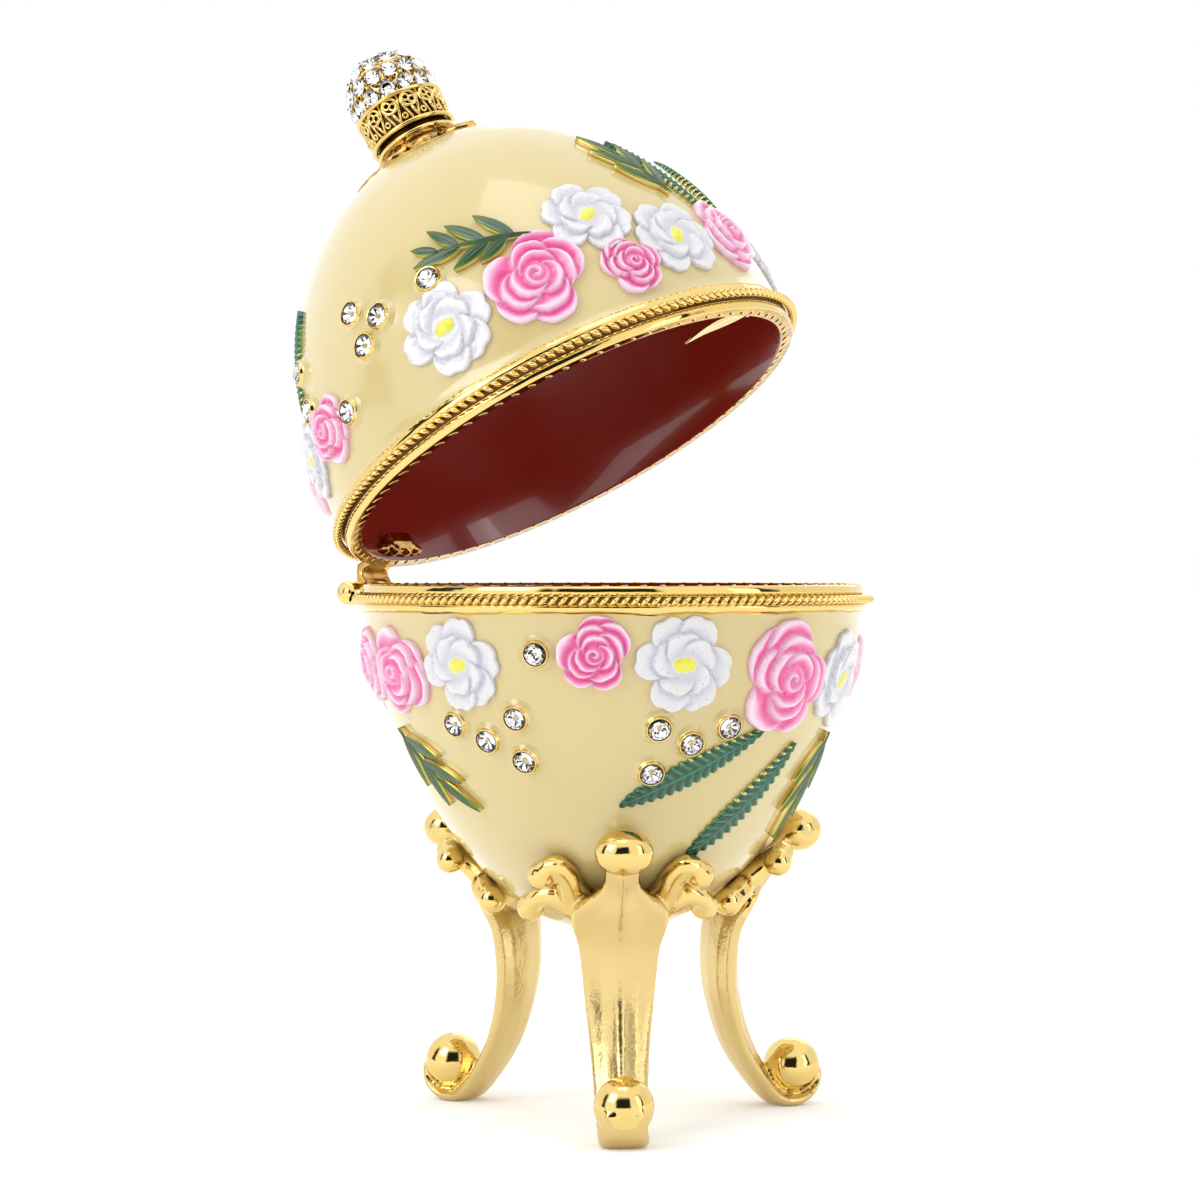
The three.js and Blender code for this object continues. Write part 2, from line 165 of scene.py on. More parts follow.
# A closed bar through rings of points, each ring with the same number of them.
def loftedPiece(name, rings):
    piece = added(name, bpy.ops.mesh.primitive_circle_add, vertices=len(rings[0]), fill_type="NGON")
    editing(piece)
    body = bmesh.from_edit_mesh(piece.data)
    for vertex, point in zip(body.verts, rings[0]):
        vertex.co = point
    for ring, nextRing in zip(rings, rings[1:]):
        bpy.ops.mesh.extrude_region_move()
        body = bmesh.from_edit_mesh(piece.data)
        for vertex in [v for v in body.verts if v.select]:
            nearest = min(range(len(ring)), key=lambda i: (Vector(ring[i]) - vertex.co).length_squared)
            vertex.co = nextRing[nearest]
        bmesh.update_edit_mesh(piece.data)
    doneEditing()
    return cleaned(piece)


def reshaped(piece, place):
    for vertex in piece.data.vertices:
        vertex.co = place(vertex.co)
    piece.data.update()
    return piece


def coated(piece, *materials):
    piece.data.materials.clear()
    for material in materials:
        piece.data.materials.append(material)
    return piece


# Puts a piece on its body of the frame, on the lid or on the bowl.
def settle(piece, body, slot, *nodes):
    piece.data.transform(onLid if body == "lid" else onBowl)
    piece.data.update()
    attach(piece, body)
    if nodes:
        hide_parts(*nodes)
    return piece


# where things lie on a half egg

def clamp(value, low=0.0, high=1.0):
    return max(low, min(high, value))


def ramp(low, high, value):
    part = clamp((value - low) / (high - low))
    return part * part * (3 - 2 * part)


def shellRadius(shell, depth, offset=0.0):
    part = clamp((depth - egg["domeStart"]) / (shell["rise"] + offset))
    return (shell["radius"] + offset) * sqrt(1 - part ** shell["fullness"])


def shellSlope(shell, depth):
    step = 0.05
    return (shellRadius(shell, depth + step) - shellRadius(shell, depth - step)) / (2 * step)


def walkedDepth(shell, depth, distance):
    steps = 12
    reached = depth
    for _ in range(steps):
        reached += distance / steps / hypot(1, shellSlope(shell, reached))
    return reached


# Lays flat work on the shell: x runs to the right, y upwards and z outwards, seen from outside.
def layOn(shell, bearing, depth, tilt=0.0):
    turn = radians(tilt)

    def lay(point):
        across = point[0] * cos(turn) - point[1] * sin(turn)
        upwards = point[0] * sin(turn) + point[1] * cos(turn)
        reached = walkedDepth(shell, depth, upwards * shell["up"])
        slope = shellSlope(shell, reached)
        radius = shellRadius(shell, reached)
        angle = radians(bearing) + across / radius
        out = radius + point[2] / hypot(1, slope)
        height = shell["up"] * (reached - point[2] * slope / hypot(1, slope))
        return Vector((out * cos(angle), out * sin(angle), height))

    return lay


# finishes

def socketsOf(group, inputs, outputs):
    for name, kind, value in inputs:
        socket = group.interface.new_socket(name, in_out="INPUT", socket_type=kind)
        socket.default_value = value
    for name, kind in outputs:
        group.interface.new_socket(name, in_out="OUTPUT", socket_type=kind)


# Makes nodes in a tree. Sockets among the values are linked, the rest is set.
def linkedNodes(tree):
    def fill(socket, value):
        if isinstance(value, bpy.types.NodeSocket):
            tree.links.new(value, socket)
        else:
            socket.default_value = value

    def node(kind, *feeds, **values):
        made = tree.nodes.new(kind)
        for key, value in values.items():
            if key in made.inputs:
                fill(made.inputs[key], value)
            else:
                setattr(made, key, value)
        for socket, value in zip(made.inputs, feeds):
            fill(socket, value)
        return made

    return node, tree.links.new


def colorRamp(node, mask, stops):
    made = node("ShaderNodeValToRGB", mask)
    elements = made.color_ramp.elements
    elements.remove(elements[0])
    for index, (place, color) in enumerate(stops):
        stop = elements[0] if index == 0 else elements.new(place)
        stop.position = place
        stop.color = (*color, 1)
    return made.outputs["Color"]


# sizes of the patterns are Blender's noise scales, to the metre
poured = {
    "patchDetail": 3.0, "glossSpread": 0.08, "speckScale": 1400.0, "speckEdge": [0.10, 0.18],
    "speckColor": (0.45, 0.42, 0.42, 1), "waveScale": 160.0, "waveHeight": 0.001,
    "pitScale": 2400.0, "pitHeight": 0.0001,
}


# Uneven gloss and slight waves, as poured enamel and plated castings have.
def makePouredGroup():
    group = bpy.data.node_groups.new("pouredSurface", "ShaderNodeTree")
    inputs = [("Color", "NodeSocketColor", (1, 1, 1, 1)), ("Tint", "NodeSocketColor", (1, 1, 1, 1))]
    plain = {"Patch Size": 90.0, "Patches": 0.3, "Gloss": 0.12, "Waves": 0.1, "Specks": 0.0, "Grain": 0.0}
    inputs += [(name, "NodeSocketFloat", value) for name, value in plain.items()]
    outputs = [("Color", "NodeSocketColor"), ("Roughness", "NodeSocketFloat"), ("Normal", "NodeSocketVector")]
    socketsOf(group, inputs, outputs)
    node, link = linkedNodes(group)
    given = node("NodeGroupInput").outputs
    made = node("NodeGroupOutput").inputs
    place = node("ShaderNodeTexCoord").outputs["Object"]
    noises = {"Vector": place, "Scale": given["Patch Size"], "Detail": poured["patchDetail"]}
    patches = node("ShaderNodeTexNoise", **noises).outputs["Fac"]
    amount = node("ShaderNodeMath", patches, given["Patches"], operation="MULTIPLY")
    tinted = node("ShaderNodeMix", data_type="RGBA", Factor=amount.outputs[0],
                  A=given["Color"], B=given["Tint"])
    specks = node("ShaderNodeTexVoronoi", Vector=place, Scale=poured["speckScale"])
    isSpeck = node("ShaderNodeMapRange", specks.outputs["Distance"], *poured["speckEdge"], 1.0, 0.0)
    speckAmount = node("ShaderNodeMath", isSpeck.outputs["Result"], given["Specks"], operation="MULTIPLY")
    speckled = node("ShaderNodeMix", data_type="RGBA", blend_type="MULTIPLY", Factor=speckAmount.outputs[0],
                    A=tinted.outputs["Result"], B=poured["speckColor"])
    link(speckled.outputs["Result"], made["Color"])
    rough = node("ShaderNodeMath", patches, poured["glossSpread"], given["Gloss"], operation="MULTIPLY_ADD")
    link(rough.outputs[0], made["Roughness"])
    waves = node("ShaderNodeTexNoise", Vector=place, Scale=poured["waveScale"], Detail=2.0)
    bump = node("ShaderNodeBump", Strength=given["Waves"], Distance=poured["waveHeight"],
                Height=waves.outputs["Fac"])
    pits = node("ShaderNodeTexNoise", Vector=place, Scale=poured["pitScale"], Detail=3.0)
    grain = node("ShaderNodeBump", Strength=given["Grain"], Distance=poured["pitHeight"],
                 Height=pits.outputs["Fac"], Normal=bump.outputs["Normal"])
    link(grain.outputs["Normal"], made["Normal"])
    return group


pouredSurface = makePouredGroup()


def surfaceOf(name, tint, patchSize, patches, gloss, waves, specks=0.0, grain=0.0):
    material = bpy.data.materials.new(name)
    material.use_nodes = True
    node, link = linkedNodes(material.node_tree)
    shader = material.node_tree.nodes["Principled BSDF"]
    values = {"Tint": (*tint, 1), "Patch Size": patchSize, "Patches": patches, "Gloss": gloss, "Waves": waves,
              "Specks": specks, "Grain": grain}
    coat = node("ShaderNodeGroup", node_tree=pouredSurface, **values)
    for output, socket in (("Color", "Base Color"), ("Roughness", "Roughness"), ("Normal", "Normal")):
        link(coat.outputs[output], shader.inputs[socket])
    return material, shader, coat, node, link


enamelCoat = {"weight": 0.7, "roughness": 0.04, "maskedWeight": 0.42, "maskedRoughness": 0.1}


def enamel(name, color, tint, patchSize=90.0, patches=0.3, gloss=0.16, waves=0.06, specks=0.0):
    material, shader, coat, _, _ = surfaceOf(name, tint, patchSize, patches, gloss, waves, specks)
    coat.inputs["Color"].default_value = (*color, 1)
    shader.inputs["Coat Weight"].default_value = enamelCoat["weight"]
    shader.inputs["Coat Roughness"].default_value = enamelCoat["roughness"]
    return material


# Enamel whose colour runs between stops along a painted mask, 0 to 1.
def maskedEnamel(name, mask, stops, tint, patches=0.15, specks=0.0, waves=0.06):
    material, shader, coat, node, link = surfaceOf(name, tint, 300.0, patches, 0.2, waves, specks)
    painted = node("ShaderNodeAttribute", attribute_name=mask)
    link(colorRamp(node, painted.outputs["Fac"], stops), coat.inputs["Color"])
    shader.inputs["Coat Weight"].default_value = enamelCoat["maskedWeight"]
    shader.inputs["Coat Roughness"].default_value = enamelCoat["maskedRoughness"]
    return material, shader, node, link


# bright and warm are the plating's own colours; dark is painted shade for recesses.
goldColors = {"bright": (0.82, 0.62, 0.24), "warm": (0.66, 0.45, 0.12), "dark": (0.12, 0.06, 0.018)}


def plating(name, color, tint, patchSize=220.0, patches=0.5, gloss=0.07, waves=0.12, grain=0.0):
    material, shader, coat, _, _ = surfaceOf(name, tint, patchSize, patches, gloss, waves, 0.0, grain)
    coat.inputs["Color"].default_value = (*color, 1)
    shader.inputs["Metallic"].default_value = 1.0
    return material


def makeLeafFinish(name, stops, tint):
    material, shader, node, link = maskedEnamel(name, "shade", stops, tint)
    gilt = node("ShaderNodeAttribute", attribute_name="gilt")
    link(gilt.outputs["Fac"], shader.inputs["Metallic"])
    return material


def makeCrystal():
    material = bpy.data.materials.new("clearCrystal")
    material.use_nodes = True
    shader = material.node_tree.nodes["Principled BSDF"]
    shader.inputs["Base Color"].default_value = (1, 1, 1, 1)
    shader.inputs["Roughness"].default_value = 0.0
    shader.inputs["IOR"].default_value = 1.56
    shader.inputs["Transmission Weight"].default_value = 1.0
    return material


creamEnamel = enamel("creamEnamel", (0.63, 0.515, 0.235), (0.58, 0.455, 0.18), waves=0.07)
redLining = enamel("redLining", (0.34, 0.026, 0.012), (0.25, 0.018, 0.008), gloss=0.2, waves=0.1)
brightGold = plating("brightGold", goldColors["bright"], goldColors["warm"], gloss=0.02, waves=0.3)
castGold = plating("castGold", goldColors["bright"], goldColors["warm"], gloss=0.05, waves=0.35, grain=0.1)
brushedGold = plating("brushedGold", (0.72, 0.555, 0.25), (0.58, 0.40, 0.13), gloss=0.2, waves=0.4, grain=0.5)
# Near-black gold for the rim's groove and the knob's core behind its collar: painted shade in those recesses.
paintedShadeGold = plating("paintedShadeGold", goldColors["dark"], (0.03, 0.012, 0.006), patches=0.7, gloss=0.2, waves=0.3)
# Gold mottled with dark brown patches: the brown is painted shade and painted dark reflection.
shadeMottledGold = plating("shadeMottledGold", (0.08, 0.03, 0.015), (0.80, 0.50, 0.14), 420.0, 1.4, gloss=0.1, waves=0.3)
silverFoil = plating("silverFoil", (0.93, 0.93, 0.95), (0.8, 0.8, 0.85), gloss=0.02, waves=0.0)
clearCrystal = makeCrystal()
# Rose colours along the petal mask, deep pink to pale: the enamel's own pink, with the deepest stops also
# standing as painted shade in the hollows.
pinkAndShadeStops = [(0.0, (0.74, 0.06, 0.26)), (0.3, (0.82, 0.16, 0.40)), (0.65, (0.82, 0.38, 0.58)),
             (1.0, (0.84, 0.68, 0.78))]
pinkEnamel = maskedEnamel("pinkEnamel", "petal", pinkAndShadeStops, (0.80, 0.35, 0.55))[0]
# Daisy colours along the petal mask: the brownish grey and lavender grey low stops are painted shade for
# creases and hollows, then white enamel, then the yellow eye.
whiteAndShadeStops = [(0.0, (0.34, 0.29, 0.25)), (0.3, (0.52, 0.51, 0.56)), (0.8, (0.68, 0.67, 0.73)),
              (0.87, (0.74, 0.73, 0.66)),  (0.93, (0.76, 0.72, 0.04))]
whiteEnamel = maskedEnamel("whiteEnamel", "petal", whiteAndShadeStops, (0.56, 0.56, 0.62), specks=0.5)[0]
oliveStops = [(0.0, (0.006, 0.03, 0.008)), (0.35, (0.02, 0.085, 0.015)), (0.65, (0.16, 0.24, 0.03)),
              (0.8, (0.42, 0.42, 0.05)), (1.0, goldColors["bright"])]
oliveEnamel = makeLeafFinish("oliveEnamel", oliveStops, (0.02, 0.08, 0.02))
fernStops = [(0.0, (0.004, 0.035, 0.022)), (0.35, (0.010, 0.085, 0.045)), (0.7, (0.045, 0.26, 0.12)),
             (0.8, (0.30, 0.36, 0.10)), (1.0, goldColors["bright"])]
fernEnamel = makeLeafFinish("fernEnamel", fernStops, (0.006, 0.05, 0.03))
print("finishes made")


# floor, lights and camera

studio = {
    "floorSize": 9.0, "floor": (0.90, 0.90, 0.89),
    "bearing": 207.5, "distance": 0.410, "rise": 0.0026, "lens": 103.5,
    "shiftX": -0.0108, "shiftY": -0.0325,
    "background": 1.0, "sky": 1.25, "floorGlow": 0.14,
    # brightness round the room; 0.5 is towards the camera
    "panels": [[0.0, 1.1], [0.235, 1.2], [0.245, 0.05], [0.28, 0.05], [0.29, 1.35], [0.41, 1.35],
               [0.425, 0.02], [0.56, 0.02], [0.575, 1.25], [0.66, 1.25], [0.67, 0.04], [0.72, 0.04],
               [0.73, 1.1], [1.0, 1.1]],
    # brightness against height, from level to straight up
    "ceiling": [[0.0, 0.0], [0.55, 0.0], [0.7, 1.0]],
    # name: [turn from the camera, height, distance, width, depth, watts]
    "softboxes": {
        "keyLight": [-52, 0.36, 0.50, 0.26, 0.30, 0.8],
        "fillLight": [62, 0.20, 0.55, 0.14, 0.40, 0.35],
        "topLight": [-20, 0.70, 0.12, 0.35, 0.30, 0.5],
        "backLight": [165, 0.35, 0.60, 0.45, 0.30, 0.3],
    },
}


def around(turn, distance, height):
    angle = radians(studio["bearing"] + turn)
    centre = eggCentre()
    return Vector((centre.x + distance * cos(angle), centre.y + distance * sin(angle), height))


def eggCentre():
    return onBowl @ Vector((0, 0, 0))


def makeFloor():
    studioFloor = added("studioFloor", bpy.ops.mesh.primitive_plane_add, size=studio["floorSize"])
    material = bpy.data.materials.new("palePaper")
    material.use_nodes = True
    shader = material.node_tree.nodes["Principled BSDF"]
    shader.inputs["Base Color"].default_value = (*studio["floor"], 1)
    shader.inputs["Roughness"].default_value = 0.6
    shader.inputs["Specular IOR Level"].default_value = 0.0
    shader.inputs["Emission Color"].default_value = (1, 1, 1, 1)
    shader.inputs["Emission Strength"].default_value = studio["floorGlow"]
    coated(studioFloor, material)


# The camera sees plain white; the object also mirrors dark panels and the dark side where the camera stands.
def makeWorld():
    world = bpy.data.worlds.new("studioWorld")
    scene.world = world
    world.use_nodes = True
    node, link = linkedNodes(world.node_tree)
    place = node("ShaderNodeTexCoord").outputs["Generated"]
    x, y, z = node("ShaderNodeSeparateXYZ", place).outputs
    bearing = node("ShaderNodeMath", y, x, operation="ARCTAN2").outputs[0]
    turn = 1.5 - studio["bearing"] / 360
    fromCamera = node("ShaderNodeMath", bearing, 1 / (2 * pi), turn, operation="MULTIPLY_ADD")
    wrapped = node("ShaderNodeMath", fromCamera.outputs[0], operation="FRACT")
    panels = greyRamp(node, wrapped.outputs[0], studio["panels"])
    ceiling = greyRamp(node, z, studio["ceiling"])
    room = node("ShaderNodeMix", data_type="RGBA", Factor=ceiling, A=panels, B=(studio["sky"],) * 3 + (1,))
    rays = node("ShaderNodeLightPath")
    shown = node("ShaderNodeMix", data_type="RGBA", Factor=rays.outputs["Is Camera Ray"],
                 A=room.outputs["Result"], B=(studio["background"],) * 3 + (1,))
    link(shown.outputs["Result"], world.node_tree.nodes["Background"].inputs["Color"])


def greyRamp(node, mask, stops):
    return colorRamp(node, mask, [(place, (value,) * 3) for place, value in stops])


def aimed(piece, target):
    piece.rotation_euler = (target - piece.location).to_track_quat("-Z", "Y").to_euler()


def makeLights():
    for name, (turn, height, distance, width, depth, watts) in studio["softboxes"].items():
        bpy.ops.object.light_add(type="AREA", location=around(turn, distance, height))
        softbox = bpy.context.active_object
        softbox.name = name
        softbox.data.shape = "RECTANGLE"
        softbox.data.size = width
        softbox.data.size_y = depth
        softbox.data.energy = watts
        aimed(softbox, eggCentre())


def makeCamera():
    height = eggCentre().z + studio["rise"]
    bpy.ops.object.camera_add(location=around(0, studio["distance"], height))
    camera = bpy.context.active_object
    camera.name = "studioCamera"
    aimed(camera, Vector((eggCentre().x, eggCentre().y, height)))
    camera.data.lens = studio["lens"]
    camera.data.shift_x = studio["shiftX"]
    camera.data.shift_y = studio["shiftY"]
    camera.data.clip_start = 0.01
    scene.camera = camera


makeFloor()
makeWorld()
makeLights()
makeCamera()
print("studio set")


# the two shells: cream enamel outside, gold rim, dark red lining

rim = {
    "enamelEdge": 3.35, "edgeWaves": 0.28, "enamelThick": 0.12, "lip": 0.15, "lipOuter": 29.45,
    "band": [[29.62, 0.35], [29.72, 0.8], [29.66, 1.25], [29.5, 1.4]],
    "groove": [[29.75, 2.1], [30.0, 2.3], [30.05, 2.65], [29.9, 3.0]],
    "waveScale": 0.35, "rippleScale": 0.12, "swellReach": 2.5,
    "domeRings": 84, "hollowRings": 24, "sides": 288, "ripple": 0.05,
}

bowlStones = [[190.5, 7.6], [166, 15.7], [175, 17.4], [184, 14.8], [184.5, 19.6], [218.5, 15.9],
              [227, 17.6], [217.5, 20.9], [236.5, 15.8], [345, 16], [348, 20]]
lidStones = [[191.5, 17.1], [168.8, 19.4], [176.4, 16.8], [170.2, 14.8], [158.4, 9.8], [139, 19.6],
             [141.5, 14.4], [348, 19.5], [0, 18.5]]
legBearings = {"leg_back": 84, "leg_left": 210.5, "leg_right": 320}

# where the poured enamel swells: bearing, depth, height and size
mounds = {"bowl": [], "lid": []}
for bearing, depth in bowlStones:
    mounds["bowl"].append([bearing, depth, 0.3, 2.1])
for bearing, depth in lidStones:
    mounds["lid"].append([bearing, depth, 0.3, 2.1])
for bearing in legBearings.values():
    mounds["bowl"].append([bearing, 28.6, 1.5, 3.9])
    for side in (-1, 1):
        mounds["bowl"].append([bearing + side * 17, 30.2, 0.6, 2.8])


def shellProfile(shell):
    outside = []
    for i in range(rim["domeRings"]):
        depth = egg["domeStart"] + shell["rise"] * cos(pi / 2 * i / rim["domeRings"])
        outside.append((0 if i == 0 else shellRadius(shell, depth), depth))
    edge = rim["enamelEdge"]
    radius, inside = shell["radius"], shell["radius"] - egg["wall"]
    outside += [(radius, egg["domeStart"]), (radius + 0.3, edge), (radius + 0.22, edge - 0.1)]
    goldPart = [tuple(point) for point in reversed(rim["band"] + rim["groove"])]
    lip = [(rim["lipOuter"], rim["lip"]), (inside + 0.15, rim["lip"]), (inside, rim["lip"] + 0.2)]
    hollow = []
    depthOfHollow = shell["rise"] - egg["wall"]
    for i in range(1, rim["hollowRings"] + 1):
        depth = egg["domeStart"] + depthOfHollow * sin(pi / 2 * i / rim["hollowRings"])
        matching = egg["domeStart"] + (depth - egg["domeStart"]) * shell["rise"] / depthOfHollow
        radius = shellRadius(shell, matching)
        radius *= 1 - egg["wall"] / shell["radius"]
        hollow.append((0 if i == rim["hollowRings"] else radius, depth))
    return [(radius, shell["up"] * depth) for radius, depth in outside + goldPart + lip + hollow]


def makeShell(name, shell, body, node):
    piece = spunPiece(name, shellProfile(shell), rim["sides"])
    coated(piece, creamEnamel, brightGold, redLining, paintedShadeGold, shadeMottledGold)
    inner = shell["radius"] - egg["wall"] + 0.1
    edge = rim["enamelEdge"]

    def waved(point):
        depth = abs(point.z)
        if abs(depth - edge) > 0.15 or hypot(point.x, point.y) < shell["radius"]:
            return point
        wave = rim["edgeWaves"] * noise.noise(Vector((point.x, point.y, 7 * shell["up"])) * rim["waveScale"])
        return point + Vector((0, 0, shell["up"] * wave))

    for face in piece.data.polygons:
        middle = face.center
        radius, depth = hypot(middle.x, middle.y), abs(middle.z)
        wallRadius = shellRadius(shell, depth) - egg["wall"] / 2
        if radius < wallRadius and depth > rim["lip"] + 0.05 or depth < 2 and radius < inner:
            face.material_index = 2
        elif depth < edge:
            # The groove under the rope is painted near-black, as painted shade.
            inGroove = rim["groove"][0][1] > depth > rim["band"][-1][1]
            # The lip face is gold mottled with painted shade and painted reflection.
            onLip = depth < rim["lip"] + 0.02 and radius < rim["lipOuter"]
            face.material_index = 3 if inGroove else 4 if onLip else 1
        elif depth > edge and radius > wallRadius:
            face.material_index = 0

    swells = []
    for bearing, at, height, size in mounds[body]:
        swells.append((layOn(shell, bearing, at)((0, 0, 0)), height, size))

    def swollen(point):
        depth = abs(point.z)
        radius = hypot(point.x, point.y)
        if depth < edge + 0.2 or radius < shellRadius(shell, depth) - egg["wall"] / 2:
            return point
        lift = rim["ripple"] * noise.noise(point * rim["rippleScale"])
        for mound, height, size in swells:
            away = (mound - point).length
            if away < size * rim["swellReach"]:
                lift += height * exp(-(away / size) ** 2)
        slope = shellSlope(shell, min(depth, egg["domeStart"] + shell["rise"] - 0.3))
        outward = Vector((point.x, point.y, -radius * slope * shell["up"]))
        if outward.length < 0.001:
            outward = Vector((0, 0, shell["up"]))
        return point + outward.normalized() * lift

    reshaped(piece, swollen)
    reshaped(piece, waved)
    smoothed(piece, 50)
    return settle(piece, body, "cream_enamel", node)


makeShell("bowlShell", bowlShell, "bowl", "bowl")
makeShell("lidShell", lidShell, "lid", "lid")
print("shells made")

# twisted rope and lip marks

rope = {
    "ring": 30.42, "height": 1.82, "count": 168, "size": [0.56, 0.80, 0.30],
    "slant": 38, "axis": "X", "cuts": 6,
}
lipMark = {
    "ring": 28.55, "height": 0.2, "count": 84, "size": [0.75, 0.34, 0.18],
    "slant": 38, "axis": "Z", "cuts": 4,
}


# A ring of slanted beads round the rim.
def makeBeads(name, shell, body, bead):
    strand = added(name, bpy.ops.mesh.primitive_uv_sphere_add, segments=8, ring_count=bead["cuts"], radius=1)
    slant = radians(bead["slant"]) * (shell["up"] if bead["axis"] == "X" else 1)
    count = bead["count"]
    editing(strand)
    bpy.ops.transform.resize(value=tuple(bead["size"]))
    bpy.ops.transform.rotate(value=slant, orient_axis=bead["axis"], center_override=(0, 0, 0))
    bpy.ops.transform.translate(value=(bead["ring"], 0, shell["up"] * bead["height"]))
    angle = 2 * pi * (count - 1) / count
    bpy.ops.mesh.spin(steps=count - 1, angle=angle, dupli=True, center=(0, 0, 0), axis=(0, 0, 1))
    doneEditing()
    settle(coated(smoothed(strand), castGold), body, "gold_plate")


for body, shell in (("bowl", bowlShell), ("lid", lidShell)):
    makeBeads(f"{body}Rope", shell, body, rope)
    makeBeads(f"{body}LipMarks", shell, body, lipMark)
print("ropes made")

# roses and daisies, modelled flat and then laid on the shells

rose = {
    "sides": 144, "rings": 48, "root": -0.8, "rise": 0.5, "edge": 0.05,
    "centre": 0.24, "centreFloor": 1.15, "spiralTurns": 1.4, "uneven": [0.28, 0.12], "smoothing": 2,
    # reach, petals, petal size, phase and floor height, from the inside out
    "layers": [[0.5, 3, 0.31, 0.1, 0.95], [0.74, 4, 0.42, 0.4, 0.65], [1.0, 5, 0.5, 0.15, 0.3]],
    "notch": 0.06,
}
daisy = {
    "sides": 144, "rings": 48, "root": -0.8, "rise": 0.28, "edge": 0.03,
    "layers": [[0.64, 5, 0.34, 0.3, 0.62], [1.0, 6, 0.4, 0.0, 0.3]], "uneven": [0.14, 0.08], "smoothing": 2,
    "notch": 0.15, "eye": [0.24, 0.16], "eyeFloor": 0.5, "eyeHeight": 0.3, "dish": [0.24, 0.42, 0.62],
}


# Distance outside one round petal with a notched tip; negative inside it.
def outsidePetal(settings, layer, index, x, y):
    reach, petals, size, phase, _ = layer
    turned, grown = settings["uneven"]
    size *= 1 + grown * sin(7.3 * index + 40 * reach)
    bearing = 2 * pi * (index + phase) / petals + turned * sin(4.1 * index + 23 * reach)
    dx, dy = x - (reach - size) * cos(bearing), y - (reach - size) * sin(bearing)
    tip = (atan2(dy, dx) - bearing + pi) % (2 * pi) - pi
    return hypot(dx, dy) - size * (1 - settings["notch"] * exp(-(tip / 0.3) ** 2))


# The petal that shows at a point: its layer, how far it is from its own edge and from the edge over it.
def petalAt(settings, x, y):
    covering = 1.0
    bearingOfPoint = atan2(y, x)
    for layer in settings["layers"]:
        petals = []
        for index in range(layer[1]):
            behind = (bearingOfPoint - 2 * pi * (index + layer[3]) / layer[1] + pi) % (2 * pi)
            petals.append((behind, outsidePetal(settings, layer, index, x, y)))
        holding = [petal for petal in petals if petal[1] < 0]
        if holding:
            behind, outside = max(holding)
            over = [petal[1] for petal in petals if petal[0] > behind and petal[1] >= 0]
            return layer, -outside, min([covering] + over)
        covering = min([covering] + [petal[1] for petal in petals])
    return None, 0.0, covering


def flowerOutline(settings, angle):
    reach = 1.02
    while reach > 0.2 and petalAt(settings, reach * cos(angle), reach * sin(angle))[0] is None:
        reach -= 0.01
    return reach


def floorUnder(settings, layer):
    index = settings["layers"].index(layer)
    return settings["layers"][index + 1][4] if index + 1 < len(settings["layers"]) else -0.1


# Height over the shell, and paleness: deep pink where a petal tucks under the one over it and in the hollows
# of the spiral centre, pale at free edges and on the spiral's lip. The enamel's own pink runs from deep to
# pale, and its deep end in the hollows is also painted shade.
def roseAt(x, y):
    radius, angle = hypot(x, y), atan2(y, x) % (2 * pi)
    if radius < rose["centre"]:
        turn = (rose["spiralTurns"] * radius / rose["centre"] - angle / (2 * pi)) % 1
        lip = exp(-((turn - 0.65) / 0.22) ** 2)
        fall = ramp(0.0, rose["edge"], rose["centre"] - radius)
        return rose["centreFloor"] - 0.15 + (0.15 + rose["rise"] * lip) * fall, clamp(0.2 + 0.8 * lip)
    layer, own, over = petalAt(rose, x * 0.999, y * 0.999)
    over = min(over, radius - rose["centre"])
    if layer is None:
        return -0.1, 0.5
    part = over / max(own + over, 0.001)
    top = layer[4] + rose["rise"] * ramp(0.05, 0.8, part)
    below = floorUnder(rose, layer)
    height = below + (top - below) * ramp(-0.01, rose["edge"], own)
    return height + 0.05 * noise.noise(Vector((x, y, 0)) * 8), clamp(0.02 + 1.05 * ramp(0.2, 0.85, part))


# Height over the shell, and the colour mask: 1 for the yellow eye; on the petals, painted shade makes it
# greyer towards their bases and in the dish round the eye.
def daisyAt(x, y):
    radius = hypot(x, y)
    grain = noise.noise(Vector((x, y, 0)) * 14)
    eye = hypot(x / daisy["eye"][0], y / daisy["eye"][1]) + 0.25 * grain
    if eye < 1:
        return daisy["eyeFloor"] + daisy["eyeHeight"] * (1 - eye ** 2) + 0.1 * grain, 1.0
    layer, own, over = petalAt(daisy, x * 0.999, y * 0.999)
    if layer is None:
        return -0.1, 0.4
    part = over / max(own + over, 0.001)
    top = layer[4] + daisy["rise"] * ramp(0.0, 0.7, part) + 0.05 * grain
    below = floorUnder(daisy, layer)
    height = below + (top - below) * ramp(-0.01, daisy["edge"], own)
    inner, outer, floorHeight = daisy["dish"]
    rising = ramp(inner, outer, radius)
    # A dark line along the edge of the petal over this one: painted shade in the crease between petals.
    crease = exp(-(over / 0.02) ** 2) * rising
    height = floorHeight - 0.12 + (height + 0.12 - floorHeight) * rising
    return height, clamp(0.5 + 0.34 * ramp(0.0, 0.5, part) * rising - 0.42 * crease + 0.06 * grain, 0, 0.84)


